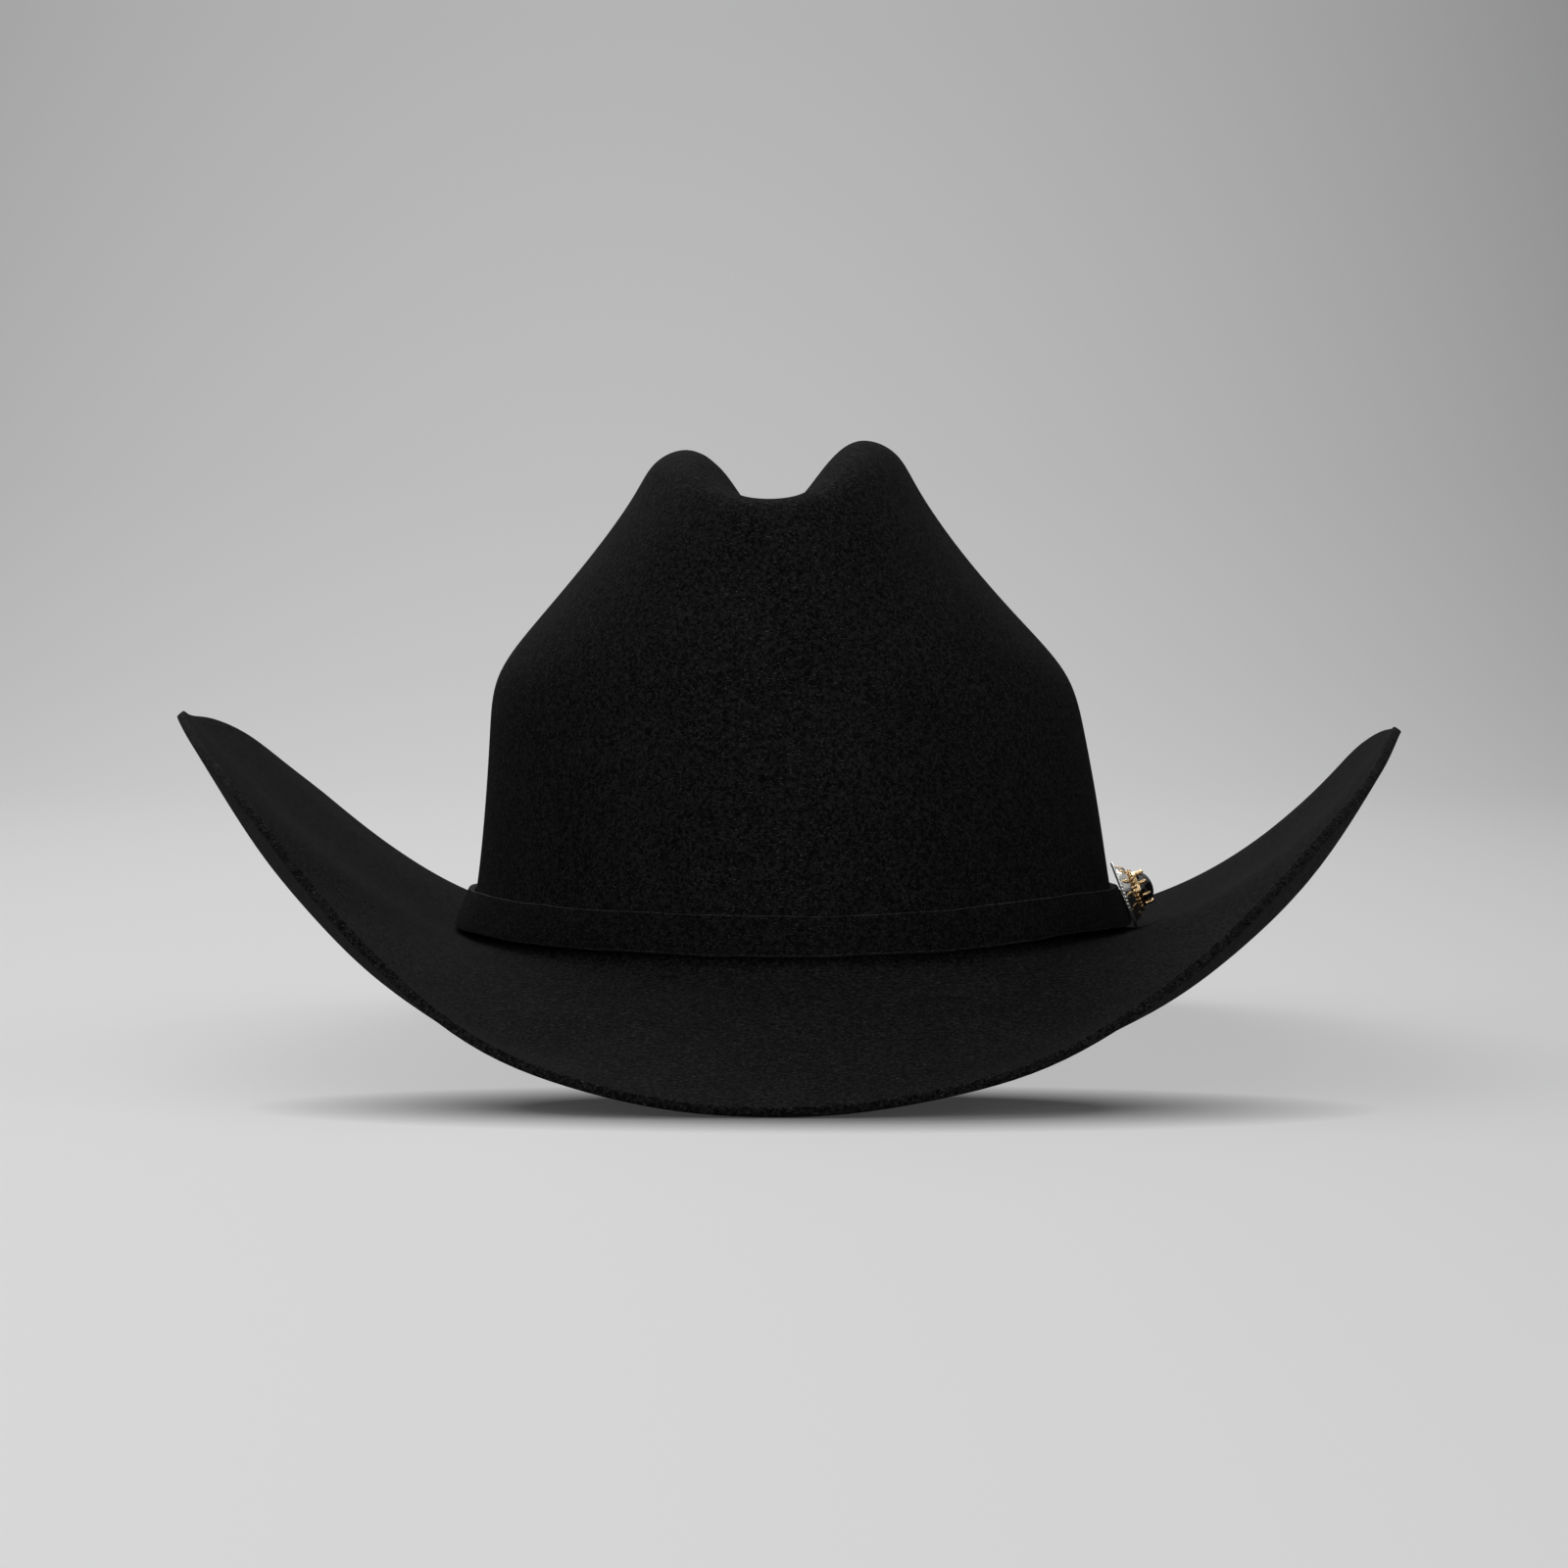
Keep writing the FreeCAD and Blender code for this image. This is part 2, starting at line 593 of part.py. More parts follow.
def make_concho_washer():
    bottom = washer_top() - WASHER_THICKNESS
    washer = Part.makeCylinder(WASHER_RADIUS, WASHER_THICKNESS, Vector(0, 0, bottom))
    washer = washer.cut(Part.makeCylinder(POST_BORE + 0.1, 2, Vector(0, 0, bottom - 1)))
    return on_axis(washer)


def make_concho_screw():
    """Flat-headed screw that goes up the post from behind the band."""
    top = washer_top() - WASHER_THICKNESS
    bottom = top - SCREW_HEAD_THICKNESS
    head = Part.makeCylinder(SCREW_HEAD_RADIUS, SCREW_HEAD_THICKNESS, Vector(0, 0, bottom))
    head = head.makeChamfer(0.15, head.Edges)
    shank = Part.makeCylinder(POST_BORE - 0.02, -top - 0.1, Vector(0, 0, top - 0.05))
    slot = Part.makeBox(2 * SCREW_HEAD_RADIUS, 0.6, 0.3, Vector(-SCREW_HEAD_RADIUS, -0.3, bottom))
    return on_axis(head.fuse(shank).cut(slot))


def sweatband_loops(extra=0.0):
    return [wall_loop_inside(level, away + extra) for level, away in SWEATBAND_LEVELS]


def wall_loop_inside(level, away):
    """Loop inside the crown, this far from the felt; below the wall it goes straight down."""
    lowest = 4.0
    if level >= lowest:
        return wall_loop(INNER, level, -away)
    return moved_out(wall_loop(INNER, lowest, -away), 0.0, level - lowest)


def make_sweatband():
    outer, inner = sweatband_loops(), sweatband_loops(LEATHER)
    band = ring_solid(outer + inner[::-1])
    gap = Part.makeBox(SWEATBAND_GAP, 40, 120, Vector(-SWEATBAND_GAP / 2, 80, -30))
    return band.cut(gap)


def reed_centre():
    return wall_loop_inside(REED_LEVEL, REED_OFFSET)


def make_sweatband_reed():
    return ring_solid(tube_loops(reed_centre(), REED_RADIUS))


def make_reed_cover():
    """Cloth tape round the reed, open on the side where it is sewn to the felt."""
    outside = tube_loops(reed_centre(), REED_RADIUS + REED_COVER + 0.05, 9, 40, 280)
    inside = tube_loops(reed_centre(), REED_RADIUS + 0.1, 9, 40, 280)
    return ring_solid(outside + inside[::-1])


def leather_face(level):
    """Loop on the face of the sweatband that touches the head."""
    for (low, low_away), (high, high_away) in zip(SWEATBAND_LEVELS, SWEATBAND_LEVELS[1:]):
        if low <= level <= high:
            fraction = (level - low) / (high - low)
            return between(wall_loop_inside(low, low_away + LEATHER),
                           wall_loop_inside(high, high_away + LEATHER), fraction)
    raise ValueError("level is off the sweatband")


def make_sweatband_sewing():
    return running_stitches(leather_face(SEWING_LEVEL), SEWING_COUNT, -THREAD - THREAD_LIFT)


def make_sweatband_stitches():
    return running_stitches(leather_face(STITCH_LEVEL), STITCH_COUNT, -THREAD - THREAD_LIFT)


def make_sweatband_back_seam():
    low, high = leather_face(12.0), leather_face(54.0)
    return zigzag(low, high, BACK, 1.6, 21, -THREAD - THREAD_LIFT - 0.2)


def make_sweatband_bow():
    """Small ribbon bow at the foot of the back seam."""
    point, round_way, out = loop_frame(leather_face(5.0), BACK)
    wide, tall, ribbon, depth = 7.0, 2.2, 0.35, 3.0
    pieces = []
    for side in (-1, 1):
        outlines = []
        for inset in (0.0, ribbon):
            points = [Vector(side * (0.9 + inset), 0, 0),
                      Vector(side * wide * 0.6, 0, tall - inset),
                      Vector(side * (wide - inset), 0, 0),
                      Vector(side * wide * 0.6, 0, -tall + inset)]
            curve = Part.BSplineCurve()
            curve.interpolate(points, PeriodicFlag=True)
            outlines.append(Part.Face(Part.Wire(curve.toShape())))
        loop = outlines[0].cut(outlines[1])
        pieces.append(loop.extrude(Vector(0, -depth, 0)))
    knot = Part.makeBox(1.7, depth + 0.4, 2.4, Vector(-0.85, -depth - 0.4, -1.2))
    knot = knot.makeFillet(0.4, knot.Edges)
    bow = knot
    for piece in pieces:
        bow = bow.fuse(piece)
    bow.translate(point - out * 0.8)
    return bow


def make_sweatband_tag():
    """Blank tag on the leather, beside the back seam."""
    wide, tall, thick = TAG_SIZE
    half = tall / 2 + 2
    back = [moved_out(leather_face(TAG_LEVEL + z), -TAG_GAP) for z in (-half, half)]
    face = [moved_out(loop, -thick) for loop in back]
    sheet = ring_solid([back[0], back[1], face[1], face[0]])
    window = Part.makeBox(wide, 60, tall, Vector(-wide - 8, 60, TAG_LEVEL - tall / 2))
    return sheet.common(window)


def make_lining_side():
    outer = [wall_loop(INNER, level, -away) for level, away in LINING_LEVELS]
    inner = [wall_loop(INNER, level, -away - LINING) for level, away in LINING_LEVELS]
    return ring_solid(outer + inner[::-1])


def shrunk(loop, fraction, rise):
    """The loop drawn in towards its middle line and raised."""
    middle_y = (loop[0].y + loop[BACK].y) / 2
    middle_x = (loop[LEFT].x + loop[-LEFT].x) / 2
    length = (loop[BACK].y - loop[0].y) / 2 - (loop[LEFT].x - loop[-LEFT].x) / 2
    result = []
    for column, point in enumerate(loop):
        core = Vector(middle_x, middle_y + length * math.sin(column_angle(column)), point.z)
        result.append(core + (point - core) * fraction + Vector(0, 0, rise))
    return result


def tip_loops(size, drop):
    """Gently domed oval from its edge to its centre line."""
    edge = wall_loop(INNER, LINING_LEVELS[-1][0], -TIP_INSET)
    loops = []
    for fraction in (1.0, 0.75, 0.5, 0.25, 0.0):
        loops.append(shrunk(edge, fraction * size, TIP_RISE * (1 - (fraction * size) ** 2) - drop))
    return loops


def make_lining_tip():
    return capped_solid(tip_loops(1.0, 0.0), tip_loops(1.0, LINING))


def make_tip_shield():
    gap = 0.15
    return capped_solid(tip_loops(SHIELD_FRACTION, LINING + gap),
                        tip_loops(SHIELD_FRACTION, LINING + gap + SHIELD_THICKNESS))


def piping_centre():
    level, away = LINING_LEVELS[-1]
    return wall_loop(INNER, level - PIPING_RADIUS - LINING - 0.2, -away - LINING - PIPING_RADIUS - 0.3)


def make_lining_piping():
    return ring_solid(tube_loops(piping_centre(), PIPING_RADIUS))


def make_lining_stitches():
    level = LINING_LEVELS[-1][0] - 6.0
    return running_stitches(wall_loop(INNER, level, -1.5 - LINING), 90, -THREAD - THREAD_LIFT - 0.1)


PIECES = {
    "felt_body": make_felt_body,
    "hatband": make_hatband,
    "hatband_join_stitches": make_hatband_join_stitches,
    "concho_plate": make_concho_plate,
    "concho_relief": make_concho_relief,
    "concho_beads": make_concho_beads,
    "stone_setting": make_stone_setting,
    "onyx_stone": make_onyx_stone,
    "concho_post": make_concho_post,
    "concho_washer": make_concho_washer,
    "concho_screw": make_concho_screw,
    "sweatband": make_sweatband,
    "sweatband_reed": make_sweatband_reed,
    "reed_cover": make_reed_cover,
    "sweatband_sewing": make_sweatband_sewing,
    "sweatband_stitches": make_sweatband_stitches,
    "sweatband_back_seam": make_sweatband_back_seam,
    "sweatband_bow": make_sweatband_bow,
    "sweatband_tag": make_sweatband_tag,
    "lining_side": make_lining_side,
    "lining_tip": make_lining_tip,
    "lining_piping": make_lining_piping,
    "lining_stitches": make_lining_stitches,
    "tip_shield": make_tip_shield,
}


def origin_shift(felt):
    """The move that puts the middle of the felt's footprint, on the surface, at the origin."""
    points = felt.tessellate(0.05)[0]
    lows = [min(point[i] for point in points) for i in range(3)]
    highs = [max(point[i] for point in points) for i in range(3)]
    return Vector(-(lows[0] + highs[0]) / 2, -(lows[1] + highs[1]) / 2, -lows[2])


def main():
    os.makedirs("parts", exist_ok=True)
    shift = None
    for name, make in PIECES.items():
        shape = make()
        if shift is None:
            shift = origin_shift(shape)
            print("shift", [round(value, 3) for value in shift])
        shape.translate(shift)
        print(f"{name}: {len(shape.Solids)} solids, {shape.Volume:.1f} mm3, valid {shape.isValid()}")
        shape.exportStep(f"parts/{name}.step")
    centre = CONCHO_CENTRE + shift
    print("concho pivot", [round(value, 3) for value in centre],
          "axis", [round(value, 5) for value in CONCHO_AXIS])


main()
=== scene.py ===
"""Looks of the felt cowboy hat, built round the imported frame.

Shapes are worked out in millimetres with z = 0 on the line where the brim meets the crown, and
moved into the frame's metres when a mesh is made.
"""
import json
import math

import bpy
import numpy as np
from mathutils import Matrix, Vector


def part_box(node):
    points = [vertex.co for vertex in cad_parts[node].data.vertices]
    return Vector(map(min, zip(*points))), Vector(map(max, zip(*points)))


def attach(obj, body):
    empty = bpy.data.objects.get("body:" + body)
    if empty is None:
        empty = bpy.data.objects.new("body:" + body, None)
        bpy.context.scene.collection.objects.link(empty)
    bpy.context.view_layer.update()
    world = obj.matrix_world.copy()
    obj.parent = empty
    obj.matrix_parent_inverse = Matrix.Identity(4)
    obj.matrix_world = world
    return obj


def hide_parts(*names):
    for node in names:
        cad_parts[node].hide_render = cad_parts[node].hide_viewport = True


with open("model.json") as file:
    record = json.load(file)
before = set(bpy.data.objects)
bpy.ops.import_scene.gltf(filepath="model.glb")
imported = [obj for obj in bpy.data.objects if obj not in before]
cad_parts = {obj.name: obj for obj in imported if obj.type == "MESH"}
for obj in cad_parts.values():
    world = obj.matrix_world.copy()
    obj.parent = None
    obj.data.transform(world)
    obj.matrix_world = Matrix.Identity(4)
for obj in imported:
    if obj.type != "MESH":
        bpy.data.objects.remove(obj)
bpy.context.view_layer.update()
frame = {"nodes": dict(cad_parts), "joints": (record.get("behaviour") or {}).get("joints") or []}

MM = 0.001
FRONT, LEFT, BACK = -math.pi / 2, 0.0, math.pi / 2      # directions round the hat; left is the wearer's

# ---- sizes of the felt body, as in the CAD model ----
FELT = 2.5
OVAL_SIDE, OVAL_END, OVAL_SADDLE = 88.0, 104.0, 1.7
BRIM_SIDE, BRIM_END, BRIM_UNEVEN = 92.0, 97.0, -1.5
BRIM_FRACTIONS = (1.0, 0.8, 0.6, 0.4, 0.2, 0.1, 0.04, 0.0)
BREAK_FLAT = 0.8
BREAK_FROM, BREAK_TO = (0.0, 0.04), (0.1, 0.4)
LIFT, LIFT_CENTRE, LIFT_SPREAD = 1.8, -35.0, 22.0
ROLL_START, ROLL_LEFT, ROLL_RIGHT = 57.5, (67.0, -10.5), (98.8, -54.4)
DROP_START, DROP_FRONT, DROP_BACK = 52.0, (56.7, -10.5), (16.2, 15.2)
CURL_LEFT, CURL_RIGHT, CURL_POWER = 23.8, 26.9, 5.7
LEAN, LEAN_FROM, LEAN_TO = -4.6, 20.0, 100.0
RIDGE_UNEVEN, RIDGE_FROM, RIDGE_TO = 2.6, 90.0, 130.0
WALL_TOP = 60.0
# Side height, half width, front height and place, back height and place, squareness, reach, dent
CROWN_LOOPS = (
    (4.0, 86.2, 4.0, -102.0, 4.0, 102.0, 1.0, 2.0, 0.0),
    (16.0, 84.2, 16.0, -99.0, 16.0, 99.5, 1.0, 2.0, 0.0),
    (37.0, 81.8, 36.0, -95.5, 36.0, 96.5, 1.0, 2.0, 0.0),
    (56.0, 79.2, 55.0, -91.5, 55.0, 93.0, 1.0, 2.0, 0.0),
    (69.0, 77.2, 72.0, -87.5, 72.0, 89.0, 0.97, 3.0, 0.0),
    (83.0, 66.0, 86.0, -83.5, 85.0, 83.5, 0.93, 3.0, 2.0),
    (100.5, 51.5, 99.0, -79.5, 95.0, 77.0, 0.9, 3.0, 3.0),
    (117.5, 38.5, 110.0, -74.5, 102.0, 70.0, 0.88, 3.0, 2.0),
    (126.5, 33.0, 114.5, -67.0, 106.0, 62.0, 0.85, 3.0, 0.0),
    (131.0, 23.0, 114.5, -58.0, 106.0, 52.0, 0.8, 3.0, 0.0),
    (125.5, 15.0, 111.0, -48.0, 103.5, 44.0, 0.8, 3.0, 0.0),
    (112.0, 7.2, 111.5, -39.5, 102.5, 37.5, 0.8, 2.5, 0.0),
)
CREASE_FLOOR = (109.0, 111.5, 102.0)
CREASE_FRONT, CREASE_BACK = -38.0, 36.0
DENT_CENTRE, DENT_SPREAD = -15.0, 38.0

# ---- sizes of the band, concho, sweatband and lining, as in the CAD model ----
BAND_HEIGHT, BAND_THICKNESS, BAND_BOTTOM, BAND_GAP = 9.7, 1.8, 1.5, 0.3
BAND_FLARE, BAND_FLARE_CONCHO = 4.0, 3.8
JOIN_ANGLE, JOIN_GAP, JOIN_SEWN, JOIN_STITCHES = 12.5, 0.4, (0.06, 0.94), 9
CONCHO_RADIUS, CONCHO_CLEARANCE = 9.15, 0.3
RIM_HEIGHT, RIM_WIDTH, RIM_ROUND, RIM_STEP = 0.9, 0.8, 0.2, 0.25
DOME_RADIUS, DOME_HEIGHT = 5.3, 3.3
PETALS, PETAL_CIRCLE = 12, 7.1
LEATHER = 1.1
SWEATBAND_LEVELS = ((-2.2, 3.2), (2.4, 3.2), (9.0, 1.3), (30.0, 0.8), (56.0, 0.8))
SWEATBAND_GAP = 0.6
REED_RADIUS, REED_COVER, REED_OFFSET, REED_LEVEL = 1.0, 0.35, 1.6, 0.7
THREAD, THREAD_LIFT, STITCH_LENGTH = 0.25, 0.05, 3.2
SEWING_LEVEL, STITCH_LEVEL, SEWING_COUNT, STITCH_COUNT = -1.5, 5.2, 110, 120
SEAM_LOW, SEAM_HIGH, SEAM_STITCHES = 12.0, 54.0, 21
TAG_SIZE, TAG_LEVEL, TAG_SIDE = (30.0, 12.0, 0.4), 30.0, 8.0
LINING = 0.35
LINING_LEVELS = ((44.0, 0.25), (56.0, 0.25), (68.0, 0.6), (80.0, 1.0), (91.0, 1.4))
LINING_STITCH_COUNT, LINING_STITCH_DROP = 90, 6.0
TIP_INSET, TIP_RISE = 2.6, 3.0
PIPING_RADIUS, PIPING_SIDES, PIPING_TWISTS = 0.8, 14, 144

COLUMNS = 36
LEFT_COLUMN, BACK_COLUMN = 9, 18
WALL_SPANS = 8               # the crown wall rises all the way over this many loops from the brim line
ROUND = 8                    # mesh columns to one control column
FINE = 24                    # the same, for gathered cloth
UP = 8                       # mesh rows to one control row

# ---- camera and light ----
CAMERA_TARGET = Vector((-0.0016, 0.0, 0.0697))
CAMERA_DISTANCE = 1.5
CAMERA_AZIMUTH, CAMERA_ELEVATION = 1.5, 2.3     # degrees, towards the wearer's left and up
CAMERA_LENS = 128.8
CAMERA_SENSOR = 36.0
# The studio glows a little less up the wall: place on the way to WALL_FADE metres, and brightness
WALL_FADE = 1.0
WALL_GLOW = ((0.0, 0.495), (0.06, 0.46), (0.18, 0.42), (0.5, 0.375), (1.0, 0.35))
# It dims towards both sides: middle, loss a square metre, and the least that is left
SIDE_MIDDLE, SIDE_LOSS, SIDE_LEAST = -0.18, 1.1, 0.2
# Painted contact shadow: the glow dims in an oval under the front edge, on which the hat rests: middle,
# half sizes, even core, and how much it dims
PAINTED_SHADOW_MIDDLE, PAINTED_SHADOW_HALF, PAINTED_SHADOW_CORE, PAINTED_SHADOW_DIM = (0.01, -0.175), (0.135, 0.06), 0.5, 0.92
WORLD_STRENGTH = 0.35
# Name, direction towards it, power, and softness in degrees
SUNS = (("back_key", (-0.35, 1.0, 0.75), 1.5, 40), ("top", (-0.1, 0.1, 1.0), 0.6, 60))
# Name, place, aim, size and power; the sparkles and the strip are there to be seen in the concho
AREA_LIGHTS = (
    ("left", (-1.9, -0.9, 1.1), (0, 0, 0.08), (1.2, 1.2), 9.0),
    ("front_strip", (0.25, -1.9, 0.95), (0.1, 0, 0.05), (0.25, 1.5), 5.0),
    ("sparkle", (1.6, -0.2, 0.85), (0.1, 0, 0.05), (0.2, 0.2), 1.8),
    ("sparkle", (0.7, 1.0, 1.6), (0.1, 0, 0.05), (0.2, 0.2), 2.0),
    ("sparkle", (1.1, -1.3, 0.35), (0.1, 0, 0.05), (0.2, 0.2), 1.5),
)
# The floor's rings, its edge, and the bend that turns it up into a wall, in metres
STAGE_RINGS, STAGE_HALF, STAGE_TOP, STAGE_SIDES = (0.3, 0.7, 1.2), 2.6, 1.2, 96
STAGE_BEND, STAGE_BEND_STEPS = 1.0, 16


# ---- felt shape ----
def directions(count):
    """Directions of evenly spaced columns, starting at the front."""
    return FRONT + 2 * math.pi * np.arange(count) / count


ANGLES = directions(COLUMNS)


def smooth_step(value, low, high):
    t = np.clip((value - low) / (high - low), 0, 1)
    return t * t * (3 - 2 * t)


def by_direction(sine, side, front, back, reach):
    weight = np.abs(sine) ** reach
    return side * (1 - weight) + np.where(sine < 0, front, back) * weight


def rolled(distance, roll):
    """Reach and rise of a strip that runs flat to ROLL_START and then turns up more and more."""
    run = OVAL_SIDE + BRIM_SIDE - ROLL_START
    part = np.clip((distance - ROLL_START) / run, 0, None)
    along = part * (np.arange(24)[:, None] + 0.5) / 24
    slope = np.radians(roll[0] * along + roll[1] * along ** 2)
    reach = np.minimum(distance, ROLL_START) + part * run * np.cos(slope).mean(0)
    return reach, part * run * np.sin(slope).mean(0)


def brim_shape(x, y, fraction):
    reach_left, rise_left = rolled(np.abs(x), ROLL_LEFT)
    reach_right, rise_right = rolled(np.abs(x), ROLL_RIGHT)
    reach = np.where(x > 0, reach_left, -reach_right)
    height = np.where(x > 0, rise_left, rise_right)
    part = np.clip((np.abs(y) - DROP_START) / (OVAL_END + BRIM_END - DROP_START), 0, None)
    height = height - np.where(y < 0, DROP_FRONT[0], DROP_BACK[0]) * part
    height = height - np.where(y < 0, DROP_FRONT[1], DROP_BACK[1]) * part ** 2
    curl = np.where(x > 0, CURL_LEFT, CURL_RIGHT) * np.sin(2 * ANGLES) ** 2 * fraction ** CURL_POWER
    return np.stack([reach, y, height + np.where(y < 0, curl, 0)], 1)


def brim_line_height(angle):
    """Height of the line where the brim meets the crown: a saddle with one uneven rise."""
    off_centre = (np.degrees(angle) - LIFT_CENTRE) / LIFT_SPREAD
    return LIFT * np.exp(-off_centre ** 2) - OVAL_SADDLE * np.sin(angle) ** 2


def brim_loop(fraction):
    c, s = np.cos(ANGLES), np.sin(ANGLES)
    out = np.stack([OVAL_END * c, OVAL_SIDE * s], 1)
    out /= np.linalg.norm(out, axis=1)[:, None]
    width = (BRIM_SIDE * c * c + BRIM_END * s * s + BRIM_UNEVEN * c ** 3) * fraction
    x, y = OVAL_SIDE * c, OVAL_END * s
    oval = np.stack([x, y, brim_line_height(ANGLES)], 1)
    flat = BREAK_FLAT * smooth_step(fraction, *BREAK_FROM) * (1 - smooth_step(fraction, *BREAK_TO))
    oval[:, 2] -= flat
    moved = brim_shape(x + width * out[:, 0], y + width * out[:, 1], fraction)
    return moved + oval - brim_shape(x, y, 0)


def lean_at(height):
    return LEAN * smooth_step(height, LEAN_FROM, LEAN_TO)


def crown_loop(side_z, half_width, front_z, front_y, back_z, back_y, square, reach, dent):
    c, s = np.cos(ANGLES), np.sin(ANGLES)
    z = by_direction(s, side_z, front_z, back_z, reach)
    z = z + brim_line_height(ANGLES) * max(0.0, 1 - side_z / WALL_TOP)
    uneven = np.clip((side_z - RIDGE_FROM) / (RIDGE_TO - RIDGE_FROM), 0, 1)
    z = z + RIDGE_UNEVEN / 2 * uneven * c * np.abs(c)
    off_side = np.degrees(np.arctan2(s, np.abs(c)))
    width = half_width * np.abs(c) ** square
    width = width - dent * np.abs(c) * np.exp(-((off_side - DENT_CENTRE) / DENT_SPREAD) ** 2)
    y = (front_y + back_y) / 2 + (back_y - front_y) / 2 * s
    return np.stack([np.copysign(width, c) + lean_at(z), y, z], 1)


def crease_loop():
    s = np.sin(ANGLES)
    z = by_direction(s, *CREASE_FLOOR, 2.0)
    y = (CREASE_FRONT + CREASE_BACK) / 2 + (CREASE_BACK - CREASE_FRONT) / 2 * s
    return np.stack([lean_at(z), y, z], 1)


def felt_loops():
    loops = [brim_loop(fraction) for fraction in BRIM_FRACTIONS]
    loops += [crown_loop(*values) for values in CROWN_LOOPS]
    return np.array(loops + [crease_loop()])


def unit(vectors):
    return vectors / np.linalg.norm(vectors, axis=-1, keepdims=True)


def offset_loops(loops, distance):
    """The same loops, moved inwards through the felt, with corners mitred to keep its thickness."""
    round_way = np.roll(loops, -1, 1) - np.roll(loops, 1, 1)
    steps = loops[1:] - loops[:-1]
    above = unit(np.cross(steps, round_way[:-1]))
    below = np.concatenate([above[:1], unit(np.cross(steps[:-1], round_way[1:-1]))])
    mitre = distance / (1 + (above * below).sum(-1, keepdims=True))
    moved = loops.copy()
    moved[:-1] += (above + below) * mitre
    moved[-1] -= (0, 0, distance)
    return moved


def cubic_weights(t):
    return np.array([(1 - t) ** 3, 3 * t ** 3 - 6 * t ** 2 + 4,
                     -3 * t ** 3 + 3 * t ** 2 + 3 * t + 1, t ** 3]) / 6


def curve_basis(count, samples, closed):
    """Matrix from control points to the points of a uniform cubic curve."""
    spans, first = (count, -1) if closed else (count - 3, 0)
    matrix = np.zeros((spans * samples + (not closed), count))
    for i in range(len(matrix)):
        span = min(i // samples, spans - 1)
        for k, weight in enumerate(cubic_weights(i / samples - span)):
            matrix[i, (span + first + k) % count] += weight
    return matrix


def round_basis(samples):
    return curve_basis(COLUMNS, samples, True)


def skin(loops):
    """Mesh points of the smooth skin from its open edge to the crease on the centre line."""
    mirrored = loops[-2][-np.arange(COLUMNS) % COLUMNS]
    rows = np.concatenate([[2 * loops[0] - loops[1]], loops, [mirrored]])
    return np.einsum("ui,vj,ijk->uvk", curve_basis(len(rows), UP, False), round_basis(ROUND), rows)


OUTER_LOOPS = felt_loops()
INNER_LOOPS = offset_loops(OUTER_LOOPS, FELT)
OUTER, INNER = skin(OUTER_LOOPS), skin(INNER_LOOPS)
FRAME_SHIFT = np.array(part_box("felt_body")[0]) / MM - np.concatenate([OUTER, INNER]).reshape(-1, 3).min(0)


# ---- loops round the crown wall ----
def moved_out(loop, away, up=0.0):
    """The loop moved horizontally outwards, or inwards when away is negative, and up."""
    way = np.roll(loop, -1, 0) - np.roll(loop, 1, 0)
    out = unit(np.stack([way[:, 1], -way[:, 0], np.zeros(len(loop))], 1))
    return loop + out * np.reshape(away, (-1, 1)) + np.array([0, 0, 1]) * np.reshape(up, (-1, 1))


def points_up(lines, places):
    """Point of every control column's curve at its own place, counted in loops."""
    spans = places.astype(int)
    weights = cubic_weights(places - spans)
    columns = np.arange(COLUMNS)
    return sum(weights[k][:, None] * lines[spans + k, columns] for k in range(4))


def wall_loop(loops, height, away=0.0):
    """Control loop at a height on the crown wall, moved horizontally away from it."""
    lines = loops[len(BRIM_FRACTIONS) - 2:]
    low, high = np.zeros(COLUMNS), np.full(COLUMNS, float(WALL_SPANS))
    for _ in range(40):
        middle = (low + high) / 2
        below = points_up(lines, middle)[:, 2] < height
        low, high = np.where(below, middle, low), np.where(below, high, middle)
    return moved_out(points_up(lines, low), away)


def inside_loop(level, away):
    """Control loop inside the crown; below the wall it goes straight down."""
    lowest = 4.0
    return moved_out(wall_loop(INNER_LOOPS, max(level, lowest), -away), 0.0, min(0.0, level - lowest))


def between(a, b, fraction):
    return a * (1 - fraction) + b * fraction


def loop_frame(loop, place):
    """Point, direction round the loop, and horizontal direction out of it, at a column number."""
    def point(at):
        start = math.floor(at)
        weights = cubic_weights(at - start)
        return sum(weights[k + 1] * loop[(start + k) % COLUMNS] for k in (-1, 0, 1, 2))

    step = 0.05
    way = unit(point(place + step) - point(place - step))
    return point(place), way, unit(np.array([way[1], -way[0], 0.0]))


def uneven(angle, waves, phase):
    """Smooth hand-made unevenness round the hat, about -1 to 1."""
    parts = [np.sin(count * angle + phase * (k + 1)) / (1 + 0.4 * k) for k, count in enumerate(waves)]
    return sum(parts) / len(waves) * 1.6


# ---- mesh helpers ----
def in_scene(name, data, place=(0, 0, 0), facing=None):
    """The data as an object in the scene, its -Z axis along facing."""
    thing = bpy.data.objects.new(name, data)
    thing.location = place
    if facing:
        thing.rotation_euler = facing.to_track_quat("-Z", "Y").to_euler()
    bpy.context.scene.collection.objects.link(thing)
    return thing


def smooth_mesh(name, places, faces, material):
    mesh = bpy.data.meshes.new(name)
    mesh.from_pydata(places, [], faces)
    mesh.validate()
    mesh.polygons.foreach_set("use_smooth", [True] * len(mesh.polygons))
    mesh.materials.append(material)
    return in_scene(name, mesh)


def new_piece(name, node, points, faces, slot, body="hat"):
    """A piece from points in hat millimetres, riding on a body in place of a CAD node."""
    places = (np.asarray(points).reshape(-1, 3) + FRAME_SHIFT) * MM
    piece = smooth_mesh(name, places.tolist(), faces, MATERIALS[slot])
    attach(piece, body)
    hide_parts(node)
    return piece


def second_material(piece, slot, indices):
    """Gives the faces at these indices another material."""
    piece.data.materials.append(MATERIALS[slot])
    for index in indices:
        piece.data.polygons[index].material_index = 1


